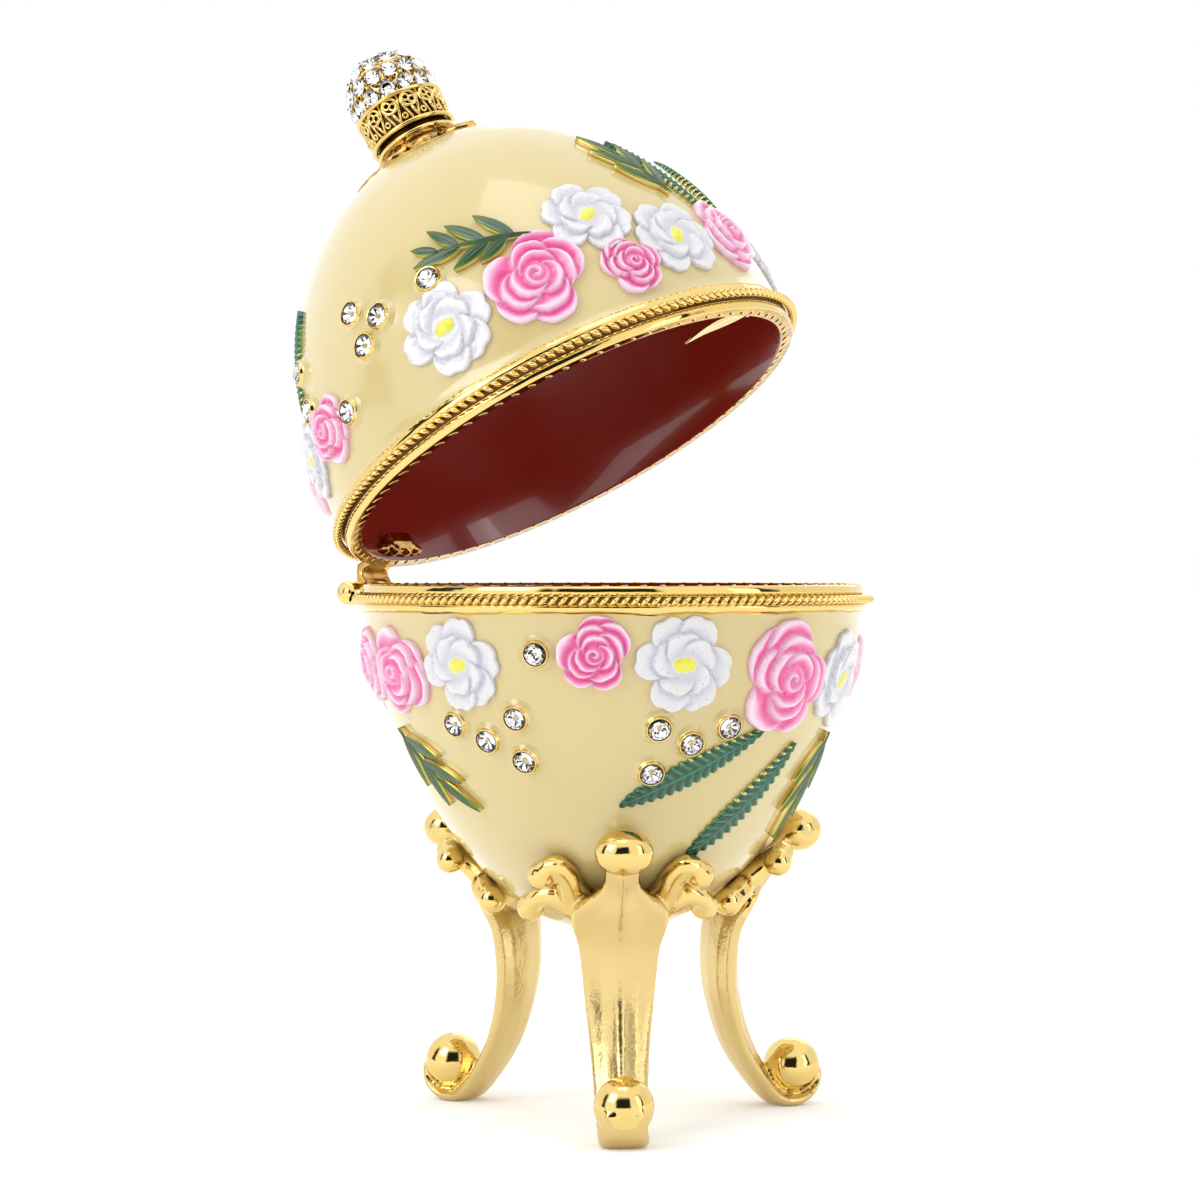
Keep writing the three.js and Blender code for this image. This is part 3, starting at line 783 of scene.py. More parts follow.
def makeFlowerBlank(name, settings, surfaceAt):
    rings = settings["rings"]
    profile = [(i / rings, 0) for i in range(rings + 1)] + [(0.97, settings["root"]), (0, settings["root"])]
    blank = spunPiece(name, profile, settings["sides"])
    # The petal mask holds the flower's colour, with painted shade in its hollows and creases.
    paint = blank.data.attributes.new("petal", "FLOAT", "POINT")
    outline = {}
    for vertex, item in zip(blank.data.vertices, paint.data):
        angle = atan2(vertex.co.y, vertex.co.x)
        spoke = round(angle, 3)
        if spoke not in outline:
            outline[spoke] = flowerOutline(settings, angle)
        x, y = vertex.co.x * outline[spoke], vertex.co.y * outline[spoke]
        if vertex.co.z > -0.1:
            height, item.value = surfaceAt(x, y)
            vertex.co = (x, y, height)
        else:
            item.value = 0.0
            vertex.co = (x, y, settings["root"])
    finished(blank, "SMOOTH", factor=0.5, iterations=1)
    for _ in range(settings["smoothing"]):
        evened(blank, "petal")
    return smoothed(blank)


# Takes the steps out of a painted mask.
def evened(piece, name):
    values = [item.value for item in piece.data.attributes[name].data]
    sums, counts = list(values), [1] * len(values)
    for edge in piece.data.edges:
        first, second = edge.vertices
        sums[first] += values[second]
        sums[second] += values[first]
        counts[first] += 1
        counts[second] += 1
    for item, total, count in zip(piece.data.attributes[name].data, sums, counts):
        item.value = total / count


roseBlank = makeFlowerBlank("roseBlank", rose, roseAt)
daisyBlank = makeFlowerBlank("daisyBlank", daisy, daisyAt)

# bearing, depth and width as the solids have them, and the turn of each flower
bowlFlowers = [
    ["rose", 148.5, 10, 11.5, 20], ["daisy", 170.5, 9, 11.2, 15], ["rose", 203.5, 7.6, 9, 80],
    ["daisy", 223.5, 8.8, 11.8, 0], ["rose", 251.5, 10.5, 14, 140], ["daisy", 276.5, 11, 12.5, 40],
    ["rose", 307, 10, 12, 200], ["daisy", 343, 9.5, 11.5, 10], ["rose", 17, 10, 12.5, 300],
    ["daisy", 54, 10.5, 12, 50], ["daisy", 105, 11, 11.5, 25], ["rose", 129, 9.5, 9.5, 100],
]
lidFlowers = [
    ["daisy", 190.5, 10.8, 11.8, 10], ["rose", 213.5, 11, 12.6, 60], ["rose", 234.5, 8.2, 7.8, 150],
    ["daisy", 232, 16, 11, 30], ["daisy", 250.5, 10.5, 11.4, 55], ["rose", 271, 10.5, 11, 250],
    ["daisy", 297, 10.5, 11.5, 0], ["rose", 329, 11, 12.5, 120], ["daisy", 2, 11, 11.5, 20],
    ["rose", 37, 11, 12, 330], ["daisy", 76, 11, 11.5, 45], ["rose", 109, 10, 9.5, 10],
    ["daisy", 130.5, 10.4, 10.5, 35], ["rose", 148, 10.2, 9, 190],
]


def layFlowers(body, shell, rows):
    for index, (kind, bearing, depth, width, turn) in enumerate(rows):
        blank, finish = (roseBlank, pinkEnamel) if kind == "rose" else (daisyBlank, whiteEnamel)
        flower = copyOf(blank, f"{body}{kind.capitalize()}{index + 1:02d}")
        half = width / 2
        flower.data.transform(stretched(half, half, 1.0) @ turned(turn))
        reshaped(flower, layOn(shell, bearing, depth))
        coated(flower, finish)
        settle(flower, body, "cream_enamel")


layFlowers("bowl", bowlShell, bowlFlowers)
layFlowers("lid", lidShell, lidFlowers)
print("flowers laid")

# olive sprigs and ferns

leafBlankCuts = {"olive": [16, 12], "fern": [150, 16]}


# A closed sheet one unit long and wide, to be drawn out into a leaf.
def makeLeafBlank(name, along, across):
    blank = added(name, bpy.ops.mesh.primitive_grid_add, x_subdivisions=across, y_subdivisions=along, size=1)
    editing(blank)
    bpy.ops.mesh.extrude_region_move(TRANSFORM_OT_translate={"value": (0, 0, 1)})
    doneEditing()
    return cleaned(blank, 0.0001)


oliveLeaf = {"root": -0.6, "base": 0.5, "swell": 0.4, "border": 0.3, "crease": 0.16}


# Draws a blank out into a leaf. shapeAt gives half width, top, gilding and shade at a place along and across.
def makeLeaf(kind, root, shapeAt):
    leaf = makeLeafBlank(f"{kind}LeafBlank", *leafBlankCuts[kind])
    gilt = leaf.data.attributes.new("gilt", "FLOAT", "POINT")
    shade = leaf.data.attributes.new("shade", "FLOAT", "POINT")
    for vertex, isGilt, tone in zip(leaf.data.vertices, gilt.data, shade.data):
        along, across = vertex.co.y + 0.5, vertex.co.x * 2
        half, top, isGilt.value, green = shapeAt(along, across)
        vertex.co = (across * half, along, top if vertex.co.z > 0.5 else root)
        tone.value = clamp(max(isGilt.value, green))
    return smoothed(leaf)


# A swollen leaf with a raised gilt border.
def oliveLeafAt(along, across):
    half = 0.5 * max(0.05, sin(pi * along ** 0.85) ** 0.7)
    border = ramp(0.74, 0.9, abs(across))
    top = oliveLeaf["base"] + oliveLeaf["swell"] * (1 - across ** 2) + oliveLeaf["border"] * border
    top -= oliveLeaf["crease"] * exp(-(across / 0.12) ** 2) + 0.35 * ramp(0.93, 1.0, abs(across))
    return half, top, border, 0.15 + 0.62 * ramp(0.35, 1.0, along) * (0.4 + 0.6 * abs(across))


fern = {
    "root": -0.6, "base": 0.4, "barbs": 17, "bite": 0.16, "lean": 0.055, "rib": 0.3, "barb": 0.28,
    "width": 0.215,
}


# A narrow fern: ribs lean towards the tip, and their ends are gilt near the flower.
def fernAt(along, across):
    ridge = 0.5 + 0.5 * cos(2 * pi * fern["barbs"] * (along - fern["lean"] * abs(across)))
    half = 0.5 * max(0.04, sin(pi * along ** 1.25) ** 0.55) * (1 - fern["bite"] * (1 - ridge))
    rib = exp(-(across / 0.13) ** 2)
    flank = ramp(0.1, 0.35, abs(across))
    top = fern["base"] + fern["rib"] * rib + fern["barb"] * ridge * flank - 0.3 * ramp(0.9, 1.0, abs(across))
    ends = ramp(0.62, 0.85, abs(across)) * ramp(0.45, 0.8, ridge) * (1 - ramp(0.5, 0.75, along))
    gilding = max(ends, 0.8 * ramp(0.85, 0.97, abs(across)) * (1 - ramp(0.8, 1.0, along)))
    return half, top, gilding, min(0.18 + 0.5 * ridge * flank * (1 - 0.4 * along) + 0.45 * rib, 0.72)


oliveLeafBlank = makeLeaf("olive", oliveLeaf["root"], oliveLeafAt)
fernBlank = makeLeaf("fern", fern["root"], fernAt)

# bearing, depth, tilt and length of the stem; leaves are [place, angle, length, width] in its parts
shortLeaves = [[0.14, -42, 0.42, 0.13], [0.2, 40, 0.32, 0.12], [0.38, -38, 0.4, 0.125],
               [0.34, 34, 0.4, 0.125], [0.6, -44, 0.34, 0.12], [0.58, 14, 0.44, 0.13], [0.78, -20, 0.24, 0.1]]
longLeaves = [[0.1, 28, 0.46, 0.12], [0.08, -32, 0.46, 0.12], [0.36, 26, 0.46, 0.12], [0.34, -26, 0.44, 0.12],
              [0.56, 8, 0.44, 0.11]]
bowlSprigs = [[139.5, 16.5, -140, 14, longLeaves], [278.5, 17, 175, 14, longLeaves]]
lidSprigs = [[217.5, 16.2, 71, 13.5, shortLeaves], [259, 16.5, 12, 13, longLeaves],
             [323, 17.5, -25, 13, shortLeaves]]
bowlFerns = [[247.5, 16.3, 122, 17.5], [261, 18, 150, 17.5], [30, 16.5, -155, 15]]
lidFerns = [[268, 15.2, 16, 13], [278, 15, -25, 13], [136, 15.5, 0, 13], [44, 17, -15, 14]]


def layLeaf(blank, name, finish, lay, at, angle, length, width):
    leaf = copyOf(blank, name)
    leaf.data.transform(moved(*at, 0) @ turned(angle) @ stretched(width, length, 1))
    reshaped(leaf, lay)
    return coated(leaf, finish)


def laySprigs(body, shell, rows):
    for index, (bearing, depth, tilt, length, leaves) in enumerate(rows):
        name = f"{body}Sprig{index + 1}"
        lay = layOn(shell, bearing, depth, tilt)
        parts = [layLeaf(oliveLeafBlank, name, oliveEnamel, lay, (0, 0), 0, length * 0.75, 0.9)]
        for part, angle, long, wide in leaves:
            at = (0, part * length)
            size = (long * length, wide * length)
            parts.append(layLeaf(oliveLeafBlank, "leaf", oliveEnamel, lay, at, angle, *size))
        settle(joined(parts, name), body, "cream_enamel")


def layFerns(body, shell, rows):
    for index, (bearing, depth, tilt, length) in enumerate(rows):
        lay = layOn(shell, bearing, depth, tilt)
        width = length * fern["width"]
        leaf = layLeaf(fernBlank, f"{body}Fern{index + 1}", fernEnamel, lay, (0, 0), 0, length, width)
        settle(leaf, body, "cream_enamel")


laySprigs("bowl", bowlShell, bowlSprigs)
laySprigs("lid", lidShell, lidSprigs)
layFerns("bowl", bowlShell, bowlFerns)
layFerns("lid", lidShell, lidFerns)
print("leaves laid")

# bezel cups and cut stones

cup = {
    "outline": [[0, -0.8], [2.5, -0.3], [2.2, 0.08], [1.95, 0.2], [1.75, 0.35], [1.6, 0.5], [1.51, 0.64],
                [1.48, 0.8], [1.42, 0.88], [1.33, 0.86], [1.27, 0.6], [1.2, 0.2], [0, 0.12]],
    "goldFrom": 1.55, "sides": 32,
}
stone = {"girdle": 1.25, "table": 0.72, "crown": 0.42, "pavilion": 0.62, "girdleHeight": 0.78, "sides": 12}


def makeCup():
    blank = coated(spunPiece("cupBlank", cup["outline"], cup["sides"]), creamEnamel, brightGold)
    for face in blank.data.polygons:
        face.material_index = 0 if hypot(face.center.x, face.center.y) > cup["goldFrom"] else 1
    return smoothed(blank, 60)


# A round brilliant: crown, table and a foiled pavilion.
def makeStone():
    blank = added("stoneBlank", bpy.ops.mesh.primitive_cone_add, vertices=stone["sides"],
                  radius1=stone["girdle"], radius2=stone["table"], depth=stone["crown"])
    editing(blank)
    bpy.ops.transform.translate(value=(0, 0, stone["girdleHeight"] + stone["crown"] / 2))
    bpy.ops.mesh.select_all(action="DESELECT")
    doneEditing()
    for face in blank.data.polygons:
        face.select = face.normal.z < -0.9
    bpy.ops.object.mode_set(mode="EDIT")
    bpy.ops.mesh.extrude_region_move(TRANSFORM_OT_translate={"value": (0, 0, -stone["pavilion"])})
    bpy.ops.mesh.merge(type="CENTER")
    doneEditing()
    coated(cleaned(blank), clearCrystal, silverFoil)
    for face in blank.data.polygons:
        face.material_index = 1 if face.center.z < stone["girdleHeight"] - 0.02 else 0
        face.use_smooth = False
    return blank


cupBlank = makeCup()
stoneBlank = makeStone()


def uprightAt(lay):
    origin = lay((0, 0, 0))
    right = (lay((0.01, 0, 0)) - origin).normalized()
    outward = (lay((0, 0, 1)) - origin).normalized()
    upward = outward.cross(right)
    turn = Matrix((right, upward, outward)).transposed().to_4x4()
    return Matrix.Translation(origin) @ turn


def setStones(body, shell, rows):
    cups = []
    for index, (bearing, depth) in enumerate(rows):
        lay = layOn(shell, bearing, depth)
        cups.append(reshaped(copyOf(cupBlank, f"{body}Cup"), lay))
        gem = copyOf(stoneBlank, f"{body}Stone{index + 1:02d}")
        gem.data.transform(uprightAt(lay) @ turned(17 * index))
        settle(gem, body, "crystal", f"{body}_stone_{index + 1:02d}")
    settle(joined(cups, f"{body}Cups"), body, "gold_plate")


setStones("bowl", bowlShell, bowlStones)
setStones("lid", lidShell, lidStones)
print("stones set")

# knob on the lid's crown

knob = {
    "ballHeight": 49.9, "ballRadius": 4.75, "stoneScale": 0.87, "beadSize": 0.3,
    "rows": [[0, 1], [25, 6], [50, 11], [75, 14], [99, 14]],
    "core": [[0, 41.1], [5.9, 40.6], [5.3, 42.0], [4.7, 43.0], [4.8, 44.2], [5.0, 45.0], [5.0, 46.0],
             [4.95, 47.2], [4.85, 48.4], [4.75, 49.9]],
    "rails": [[5.25, 43.9, 0.3], [5.45, 47.9, 0.26], [4.95, 42.7, 0.34]],
    "units": 13, "collarHeight": 46.0, "collarRadius": 5.35, "ring": [0.95, 0.2],
    "curl": [0.42, 0.17], "strut": 0.2,
    "leaf": {"count": 9, "size": [4.0, 4.6, 0.7], "longer": 1.25, "shorter": 0.85, "phase": 0.3},
    "drape": {"start": 3.9, "curve": 5.5, "lift": 1.7, "reach": 3.2, "gap": 0.2},
    # a row of stones is turned by its polar angle over this, and sunk in the ball
    "stagger": 52, "stoneSink": 0.08, "beadLift": 0.45, "paintedShadeBelow": 1.6, "belowRows": 94,
}


def makeKnobCore():
    profile = [tuple(point) for point in knob["core"]]
    height, radius = knob["ballHeight"], knob["ballRadius"]
    for polar in (75, 60, 45, 30, 15):
        profile.append((radius * sin(radians(polar)), height + radius * cos(radians(polar))))
    profile.append((0, height + radius))
    core = coated(spunPiece("knobCore", profile, 48), castGold, paintedShadeGold)
    # The core below the ball, behind the collar, is painted near-black as painted shade.
    for face in core.data.polygons:
        face.material_index = 1 if face.center.z < height - knob["paintedShadeBelow"] else 0
    smoothed(core)
    return settle(core, "lid", "gold_plate", "finial")


def torusAt(name, place, size, thick, steps, sides):
    ring = added(name, bpy.ops.mesh.primitive_torus_add, location=place, major_radius=size,
                 minor_radius=thick, major_segments=steps, minor_segments=sides)
    bpy.ops.object.transform_apply(location=True)
    return ring


def makeKnobRings():
    rings = []
    for radius, height, thick in knob["rails"]:
        rings.append(smoothed(torusAt("knobRing", (0, 0, height), radius, thick, 72, 10)))
    return settle(coated(joined(rings, "knobRings"), castGold), "lid", "gold_plate")


def wire(start, end, radius):
    middle = (Vector(start) + Vector(end)) / 2
    along = Vector(end) - Vector(start)
    turn = along.to_track_quat("Z", "Y").to_euler()
    strut = added("wire", bpy.ops.mesh.primitive_cylinder_add, vertices=8, radius=radius,
                  depth=along.length + radius, location=middle, rotation=turn)
    bpy.ops.object.transform_apply(location=True, rotation=True)
    return strut


def ringAt(x, y, size, thick):
    return torusAt("curl", (x, y, 0), size, thick, 18, 6)


# One ring with two curls and a pair of struts, bent round the collar and repeated.
def makeKnobScrolls():
    size, thick = knob["ring"]
    curl, curlThick = knob["curl"]
    half = pi * knob["collarRadius"] / knob["units"]
    parts = [ringAt(0, 0.75, size, thick), ringAt(-0.32, 0.95, curl, curlThick)]
    parts += [ringAt(0.36, 0.5, curl, curlThick)]
    parts += [wire((side * half, 1.6, 0), (side * (half - 0.85), -1.7, 0), knob["strut"]) for side in (1, -1)]
    parts += [wire((-0.1, -0.3, 0.1), (0.35, -1.6, 0), knob["strut"]), ringAt(-half, -1.15, 0.3, 0.15)]
    unit = joined(parts, "collarUnit")
    units = []
    for i in range(knob["units"]):
        copy = copyOf(unit, "collarUnit")
        bearing = 2 * pi * i / knob["units"]

        def bent(point, bearing=bearing):
            angle = bearing + point.x / knob["collarRadius"]
            out = knob["collarRadius"] + point.z - 0.05 * (point.y - 0.8) ** 2
            return Vector((out * cos(angle), out * sin(angle), knob["collarHeight"] + point.y))

        units.append(reshaped(copy, bent))
    bpy.data.objects.remove(unit)
    scrolls = joined(units, "knobScrolls")
    return settle(coated(smoothed(scrolls), castGold), "lid", "gold_plate")


def makeKnobLeaves():
    leaves = []
    size, drape = knob["leaf"], knob["drape"]
    for i in range(size["count"]):
        leaf = copyOf(oliveLeafBlank, "footLeaf")
        width, length, thick = size["size"]
        length *= size["longer"] if i % 3 == 0 else size["shorter"]
        leaf.data.transform(stretched(width, length, thick))
        bearing = 2 * pi * (i + size["phase"]) / size["count"]

        def draped(point, bearing=bearing):
            out = drape["start"] + point.y
            angle = bearing + point.x / drape["curve"]
            height = egg["domeStart"] + lidShell["rise"] * sqrt(1 - (out / lidShell["radius"]) ** 2)
            lift = drape["lift"] * (1 - ramp(0, drape["reach"], point.y))
            return Vector((out * cos(angle), out * sin(angle), height + drape["gap"] + point.z + lift))

        leaves.append(reshaped(leaf, draped))
    foot = joined(leaves, "knobLeaves")
    # The foot's leaves take gold mottled with dark brown painted shade and painted reflection.
    return settle(coated(foot, shadeMottledGold), "lid", "gold_plate")


def makeKnobStones():
    gems = []
    for polar, count in knob["rows"]:
        for i in range(count):
            gem = copyOf(stoneBlank, "paveStone")
            bearing = 2 * pi * (i + polar / knob["stagger"]) / count
            place = moved(0, 0, knob["ballHeight"]) @ Matrix.Rotation(bearing, 4, "Z") @ turned(polar, "Y")
            lift = moved(0, 0, knob["ballRadius"] - knob["stoneSink"]) @ Matrix.Scale(knob["stoneScale"], 4)
            gem.data.transform(place @ lift)
            gems.append(gem)
    settle(joined(gems, "knobStones"), "lid", "crystal")


# Small beads of gold hold the stones at their corners.
def makeKnobBeads():
    beads = []
    rows = knob["rows"]
    for (polar, count), (nextPolar, _) in zip(rows[1:], rows[2:] + [[knob["belowRows"], 0]]):
        for i in range(count):
            bead = added("knobBead", bpy.ops.mesh.primitive_ico_sphere_add, subdivisions=2,
                         radius=knob["beadSize"])
            bearing = 2 * pi * (i + 0.5 + polar / knob["stagger"]) / count
            place = moved(0, 0, knob["ballHeight"]) @ Matrix.Rotation(bearing, 4, "Z")
            place @= turned(0.62 * polar + 0.38 * nextPolar, "Y")
            bead.data.transform(place @ moved(0, 0, knob["ballRadius"] + knob["beadLift"]))
            beads.append(bead)
    settle(coated(smoothed(joined(beads, "knobBeads")), castGold), "lid", "gold_plate")


makeKnobCore()
makeKnobRings()
makeKnobScrolls()
makeKnobLeaves()
makeKnobStones()
makeKnobBeads()
print("knob made")

# legs

leg = {
    # distance from the axis, height over the floor, width and thickness
    "stations": [
        [23.4, 33.6, 3.6, 2.8], [20.9, 31, 4.0, 3.2], [18.6, 28.6, 4.8, 3.5], [16.5, 26.2, 10.6, 3.8],
        [15.2, 24.3, 11.2, 3.9], [14.2, 21.8, 9.6, 3.9], [13.8, 18.5, 8.7, 3.8], [13.9, 15, 8.0, 3.7],
        [14.8, 10.8, 7.1, 3.5], [16.2, 7.2, 6.5, 3.3], [18.4, 3.8, 6.1, 2.8], [21, 1.0, 5.8, 2.5],
        [23.7, 0.75, 5.8, 2.1], [25.7, 2.2, 5.4, 1.6], [26.3, 4.3, 4.6, 1.2]],
    # half of the blade's section, from its ridge round to its flat side
    "section": [[0, 0.64], [0.1, 0.62], [0.22, 0.5], [0.5, 0.3], [0.8, 0.2], [0.95, 0.12], [1.0, 0],
                [0.93, -0.2], [0.6, -0.36], [0, -0.42]],
    "footBall": [23.4, 4.6, 3.45], "headBall": [24.1, 33.2, 3.0], "headFlatness": 0.88, "headDepth": 30,
    "upperArm": [[4.2, -9, 0.6], [5.2, -5.8, 1.1], [5.9, -2.6, 1.7], [7.3, -0.7, 2.3], [8.4, -1.9, 2.5]],
    "lowerArm": [[2.6, -9.6, 0.2], [5.2, -8.2, 0.8], [7.6, -6.6, 1.2], [9.4, -6.7, 1.6], [10.2, -8.1, 1.8]],
    "upperGirths": [2.2, 1.7, 1.35, 1.35, 1.5], "lowerGirths": [2.4, 1.7, 1.3, 1.45, 1.5], "voxel": 0.23,
    "clearance": 0.02, "ballMargin": 0.3, "bladeHalf": 5.2, "tipGrowth": 1.12,
}


# A point on the smooth line through given points, part 0 to 1, with its direction.
def alongLine(points, part):
    spans = len(points) - 1
    index = min(int(part * spans), spans - 1)
    local = part * spans - index
    before = points[max(index - 1, 0)]
    after = points[min(index + 2, spans)]
    start, end = points[index], points[index + 1]
    values, headings = [], []
    for p0, p1, p2, p3 in zip(before, start, end, after):
        bend, swing = 2 * p0 - 5 * p1 + 4 * p2 - p3, 3 * p1 - p0 - 3 * p2 + p3
        values.append(0.5 * (2 * p1 + (p2 - p0) * local + bend * local ** 2 + swing * local ** 3))
        headings.append(0.5 * ((p2 - p0) + 2 * bend * local + 3 * swing * local ** 2))
    return values, headings


def makeBlade():
    rings = []
    half = leg["section"]
    section = half + [[-across, outward] for across, outward in reversed(half[1:-1])]
    steps = 36
    for step in range(steps + 1):
        (out, height, width, thick), heading = alongLine(leg["stations"], step / steps)
        size = hypot(heading[0], heading[1])
        normal = (-heading[1] / size, heading[0] / size)
        ring = []
        for across, outward in section:
            up = height - egg["rimHeight"] + normal[1] * outward * thick
            ring.append((out + normal[0] * outward * thick, across * width / 2, up))
        rings.append(ring)
    return loftedPiece("legBlade", rings)


def makeArm(points, girths, side):
    lay = layOn(bowlShell, 0, leg["headDepth"])
    rings = []
    steps, sides = 20, 10
    for step in range(steps + 1):
        (x, y, z), heading = alongLine([[side * p[0], p[1], p[2]] for p in points], step / steps)
        girth = alongLine([[g] for g in girths], step / steps)[0][0]
        size = hypot(heading[0], heading[1])
        ring = []
        for i in range(sides):
            angle = 2 * pi * i / sides
            sideways, outwards = girth * cos(angle), girth * sin(angle)
            across, along = x - heading[1] / size * sideways, y + heading[0] / size * sideways
            ring.append(lay((across, along, z + outwards)))
        rings.append(ring)
    return loftedPiece("legArm", rings)


def makeBall(out, height, radius, flatness=1.0):
    ball = added("legBall", bpy.ops.mesh.primitive_uv_sphere_add, segments=40, ring_count=24, radius=radius)
    editing(ball)
    bpy.ops.transform.resize(value=(1.0, 2 - flatness, flatness))
    bpy.ops.transform.translate(value=(out, 0, height - egg["rimHeight"]))
    doneEditing()
    return ball


def makeTip(x, y, z, radius):
    tip = added("armTip", bpy.ops.mesh.primitive_uv_sphere_add, segments=24, ring_count=16, radius=radius)
    tip.data.transform(Matrix.Translation(layOn(bowlShell, 0, leg["headDepth"])((x, y, z))))
    return tip


def makeLegs():
    parts = [makeBlade(), makeBall(*leg["footBall"]), makeBall(*leg["headBall"], leg["headFlatness"])]
    for side in (-1, 1):
        for points, girths in ((leg["upperArm"], leg["upperGirths"]), (leg["lowerArm"], leg["lowerGirths"])):
            parts.append(makeArm(points, girths, side))
            x, y, z = points[-1]
            parts.append(makeTip(side * x, y, z, girths[-1] * leg["tipGrowth"]))
    casting = joined(parts, "legBlank")
    finished(casting, "REMESH", mode="VOXEL", voxel_size=leg["voxel"])
    finished(casting, "SMOOTH", factor=0.5, iterations=4)

    def clearOfBowl(point):
        limit = shellRadius(bowlShell, max(egg["domeStart"], -point.z)) + leg["clearance"]
        radius = hypot(point.x, point.y)
        low = -egg["rimHeight"]
        height = max(point.z, low)
        if radius < 1 or radius >= limit:
            return Vector((point.x, point.y, height))
        return Vector((point.x * limit / radius, point.y * limit / radius, height))

    reshaped(casting, clearOfBowl)
    coated(smoothed(casting), castGold, brushedGold)
    balls = []
    for out, height, radius in (leg["footBall"], leg["headBall"]):
        balls.append((Vector((out, 0, height - egg["rimHeight"])), radius + leg["ballMargin"]))
    for face in casting.data.polygons:
        onBall = any((face.center - centre).length < reach for centre, reach in balls)
        face.material_index = 0 if onBall or abs(face.center.y) > leg["bladeHalf"] else 1
    for node, bearing in legBearings.items():
        piece = copyOf(casting, "leg" + node.split("_")[1].capitalize())
        piece.data.transform(turned(bearing))
        settle(piece, "bowl", "gold_plate", node)
    bpy.data.objects.remove(casting)


makeLegs()
print("legs made")

# hinge and catch

hinge = {
    "halfWidth": 6.3, "middleHalf": 3.0, "knuckle": 1.4, "pin": 0.75, "plate": 2.9, "gap": 0.3,
    # the arm's side outline, from the knuckle to the inside of the lid: [y, z]
    "arm": [[33.6, -0.2], [32.9, 1.2], [32.3, 2.0], [27.9, 2.0], [27.3, 2.6], [26.9, 3.3], [26.3, 3.2],
            [26.2, 2.0], [26.6, 1.0], [27.6, 0.75], [31.9, 0.75], [32.2, 0.1], [32.1, -1.0]],
    "armPinch": 0.3, "solder": [1.9, 27.3, 1.4], "solderLumps": 9,
}


# A knuckle of the hinge, its ends rounded over.
def makeKnuckle(name, start, end):
    barrel = added(name, bpy.ops.mesh.primitive_cylinder_add, vertices=32, radius=hinge["knuckle"],
                   depth=end - start)
    barrel.data.transform(moved((start + end) / 2, egg["hingeOut"], -egg["hingeDrop"]) @ turned(90, "Y"))
    finished(barrel, "BEVEL", width=0.22, segments=3, limit_method="ANGLE", angle_limit=radians(50))
    return smoothed(barrel, 40)


def makePlate(name, low, high, width):
    plate = added(name, bpy.ops.mesh.primitive_cube_add, size=1)
    editing(plate)
    bpy.ops.transform.resize(value=tuple(b - a for a, b in zip(low, high)))
    bpy.ops.transform.translate(value=tuple((a + b) / 2 for a, b in zip(low, high)))
    doneEditing()
    finished(plate, "BEVEL", width=width, segments=3)
    return smoothed(plate, 40)


def makeBowlLeaf():
    span, middle = hinge["halfWidth"], hinge["middleHalf"] + hinge["gap"]
    out = egg["hingeOut"]
    parts = [makeKnuckle("knuckle", -span, -middle), makeKnuckle("knuckle", middle, span)]
    low, high = (-span, out - hinge["plate"], -3.2), (span, out - hinge["knuckle"] - hinge["gap"], -0.6)
    parts.append(makePlate("plate", low, high, 0.3))
    for side in (-1, 1):
        low, high = sorted((side * middle, side * span))
        parts.append(makePlate("web", (low, out - hinge["plate"] + 0.4, -2.7), (high, out - 0.2, -0.9), 0.2))
    settle(coated(joined(parts, "hingeBowlLeaf"), castGold), "bowl", "gold_plate", "hinge_bowl_leaf")


# The arm reaches from the middle knuckle in under the lid's rim, pinched at its waist.
def makeLidLeaf():
    outline = hinge["arm"]
    middle = sum((Vector(point) for point in outline), Vector((0, 0))) / len(outline)
    rings = []
    for step in range(9):
        part = step / 4 - 1
        full = 1 - 0.12 * abs(part) ** 6
        waist = 1 - hinge["armPinch"]
        ring = []
        for y, z in outline:
            inner = 1 if z < 0.2 or y < 28 else waist + (1 - waist) * abs(y - 30) / 2.4
            across = part * hinge["middleHalf"] * min(1, inner)
            ring.append((across, middle.x + (y - middle.x) * full, middle.y + (z - middle.y) * full))
        rings.append(ring)
    arm = loftedPiece("hingeArm", rings)
    parts = [smoothed(arm, 40), makeKnuckle("knuckle", -hinge["middleHalf"], hinge["middleHalf"])]
    x, y, z = hinge["solder"]
    for i in range(hinge["solderLumps"]):
        lump = added("solder", bpy.ops.mesh.primitive_uv_sphere_add, segments=16, ring_count=10, radius=1)
        across = x * 2.1 * (i / (hinge["solderLumps"] - 1) * 2 - 1)
        place = moved(across, y + 0.25 * sin(5 * i), z + 0.25 * sin(2.3 * i))
        lump.data.transform(place @ stretched(1.0, 0.75, 0.72 + 0.2 * sin(3.1 * i)))
        parts.append(lump)
    leaf = finished(joined(parts, "hingeLidLeaf"), "REMESH", mode="VOXEL", voxel_size=0.16)
    finished(leaf, "SMOOTH", factor=0.5, iterations=2)
    # The lid's hinge leaf and its solder take gold mottled with dark brown: painted reflection of the red
    # lining round it, and painted shade.
    settle(coated(smoothed(leaf), shadeMottledGold), "lid", "gold_plate", "hinge_lid_leaf")


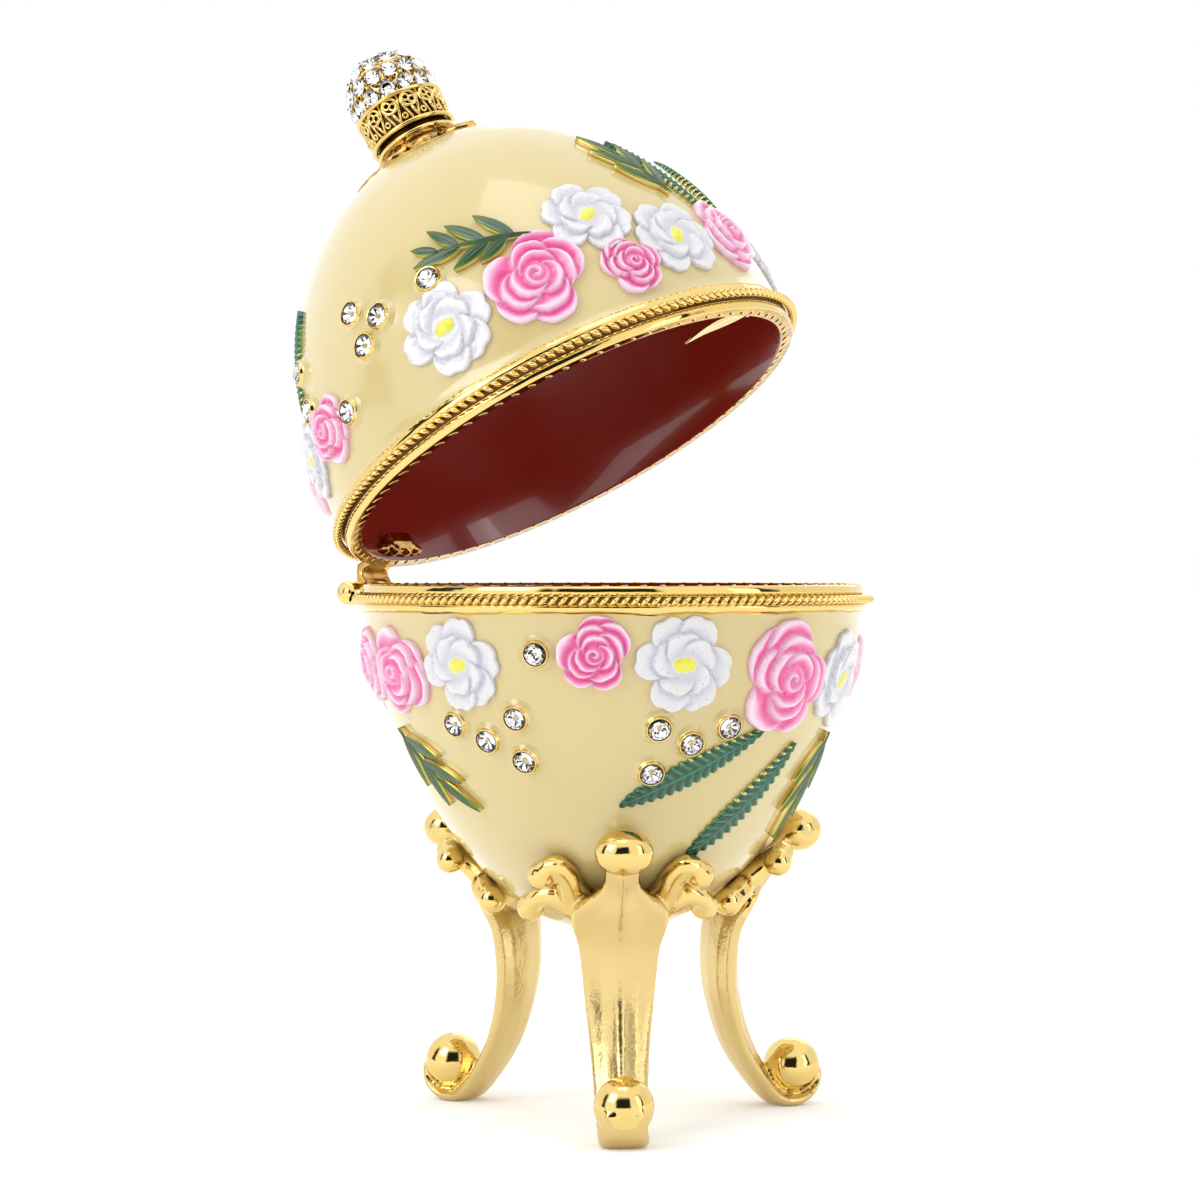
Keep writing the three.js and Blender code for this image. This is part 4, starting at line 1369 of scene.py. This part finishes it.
def makePin():
    head = added("hingePin", bpy.ops.mesh.primitive_uv_sphere_add, segments=24, ring_count=12,
                 radius=hinge["pin"])
    heads = []
    for side in (-1, 1):
        one = copyOf(head, "pinHead")
        place = moved(side * (hinge["halfWidth"] - 0.1), egg["hingeOut"], -egg["hingeDrop"])
        one.data.transform(place @ stretched(0.4, 1, 1))
        heads.append(one)
    bpy.data.objects.remove(head)
    settle(coated(smoothed(joined(heads, "hingePin")), brightGold), "bowl", "gold_plate", "hinge_pin")


makeBowlLeaf()
makeLidLeaf()
makePin()
print("hinge made")

tongue = {
    "root": [1.9, -26.9, 1.75], "turn": 28, "length": 8.5, "half": 1.55, "thick": 0.2,
    "arch": 0.55, "fold": 0.22,
    "stations": 16, "corners": 14, "spots": [[-0.4, -0.3, 0.75], [1.1, 0.2, 0.5], [-1.5, 0.3, 0.45]],
}


# The catch is a slim leaf blade, arched along its length and folded at its rib.
def makeTongue():
    rings = []
    for step in range(tongue["stations"] + 1):
        along = step / tongue["stations"]
        half = 0.06 + tongue["half"] * sin(pi * along ** 0.75) ** 0.8
        rise = tongue["arch"] * sin(pi * along)
        ring = []
        for corner in range(tongue["corners"]):
            angle = 2 * pi * corner / tongue["corners"]
            x = half * cos(angle)
            z = rise - tongue["fold"] * abs(x) + tongue["thick"] * sin(angle)
            ring.append((x, along * tongue["length"], z))
        rings.append(ring)
    blade = loftedPiece("catchTongue", rings)
    parts = [smoothed(blade, 40)]
    for x, y, size in tongue["spots"]:
        spot = added("solderSpot", bpy.ops.mesh.primitive_uv_sphere_add, segments=16, ring_count=8,
                     radius=size)
        spot.data.transform(moved(x, y, 0) @ stretched(1, 0.8, 0.45))
        parts.append(spot)
    whole = joined(parts, "catchTongue")
    whole.data.transform(moved(*tongue["root"]) @ turned(tongue["turn"]))
    settle(coated(whole, castGold), "lid", "gold_plate", "catch_tongue")


makeTongue()
print("catch made")

for blank in (roseBlank, daisyBlank, oliveLeafBlank, fernBlank, cupBlank, stoneBlank):
    bpy.data.objects.remove(blank)
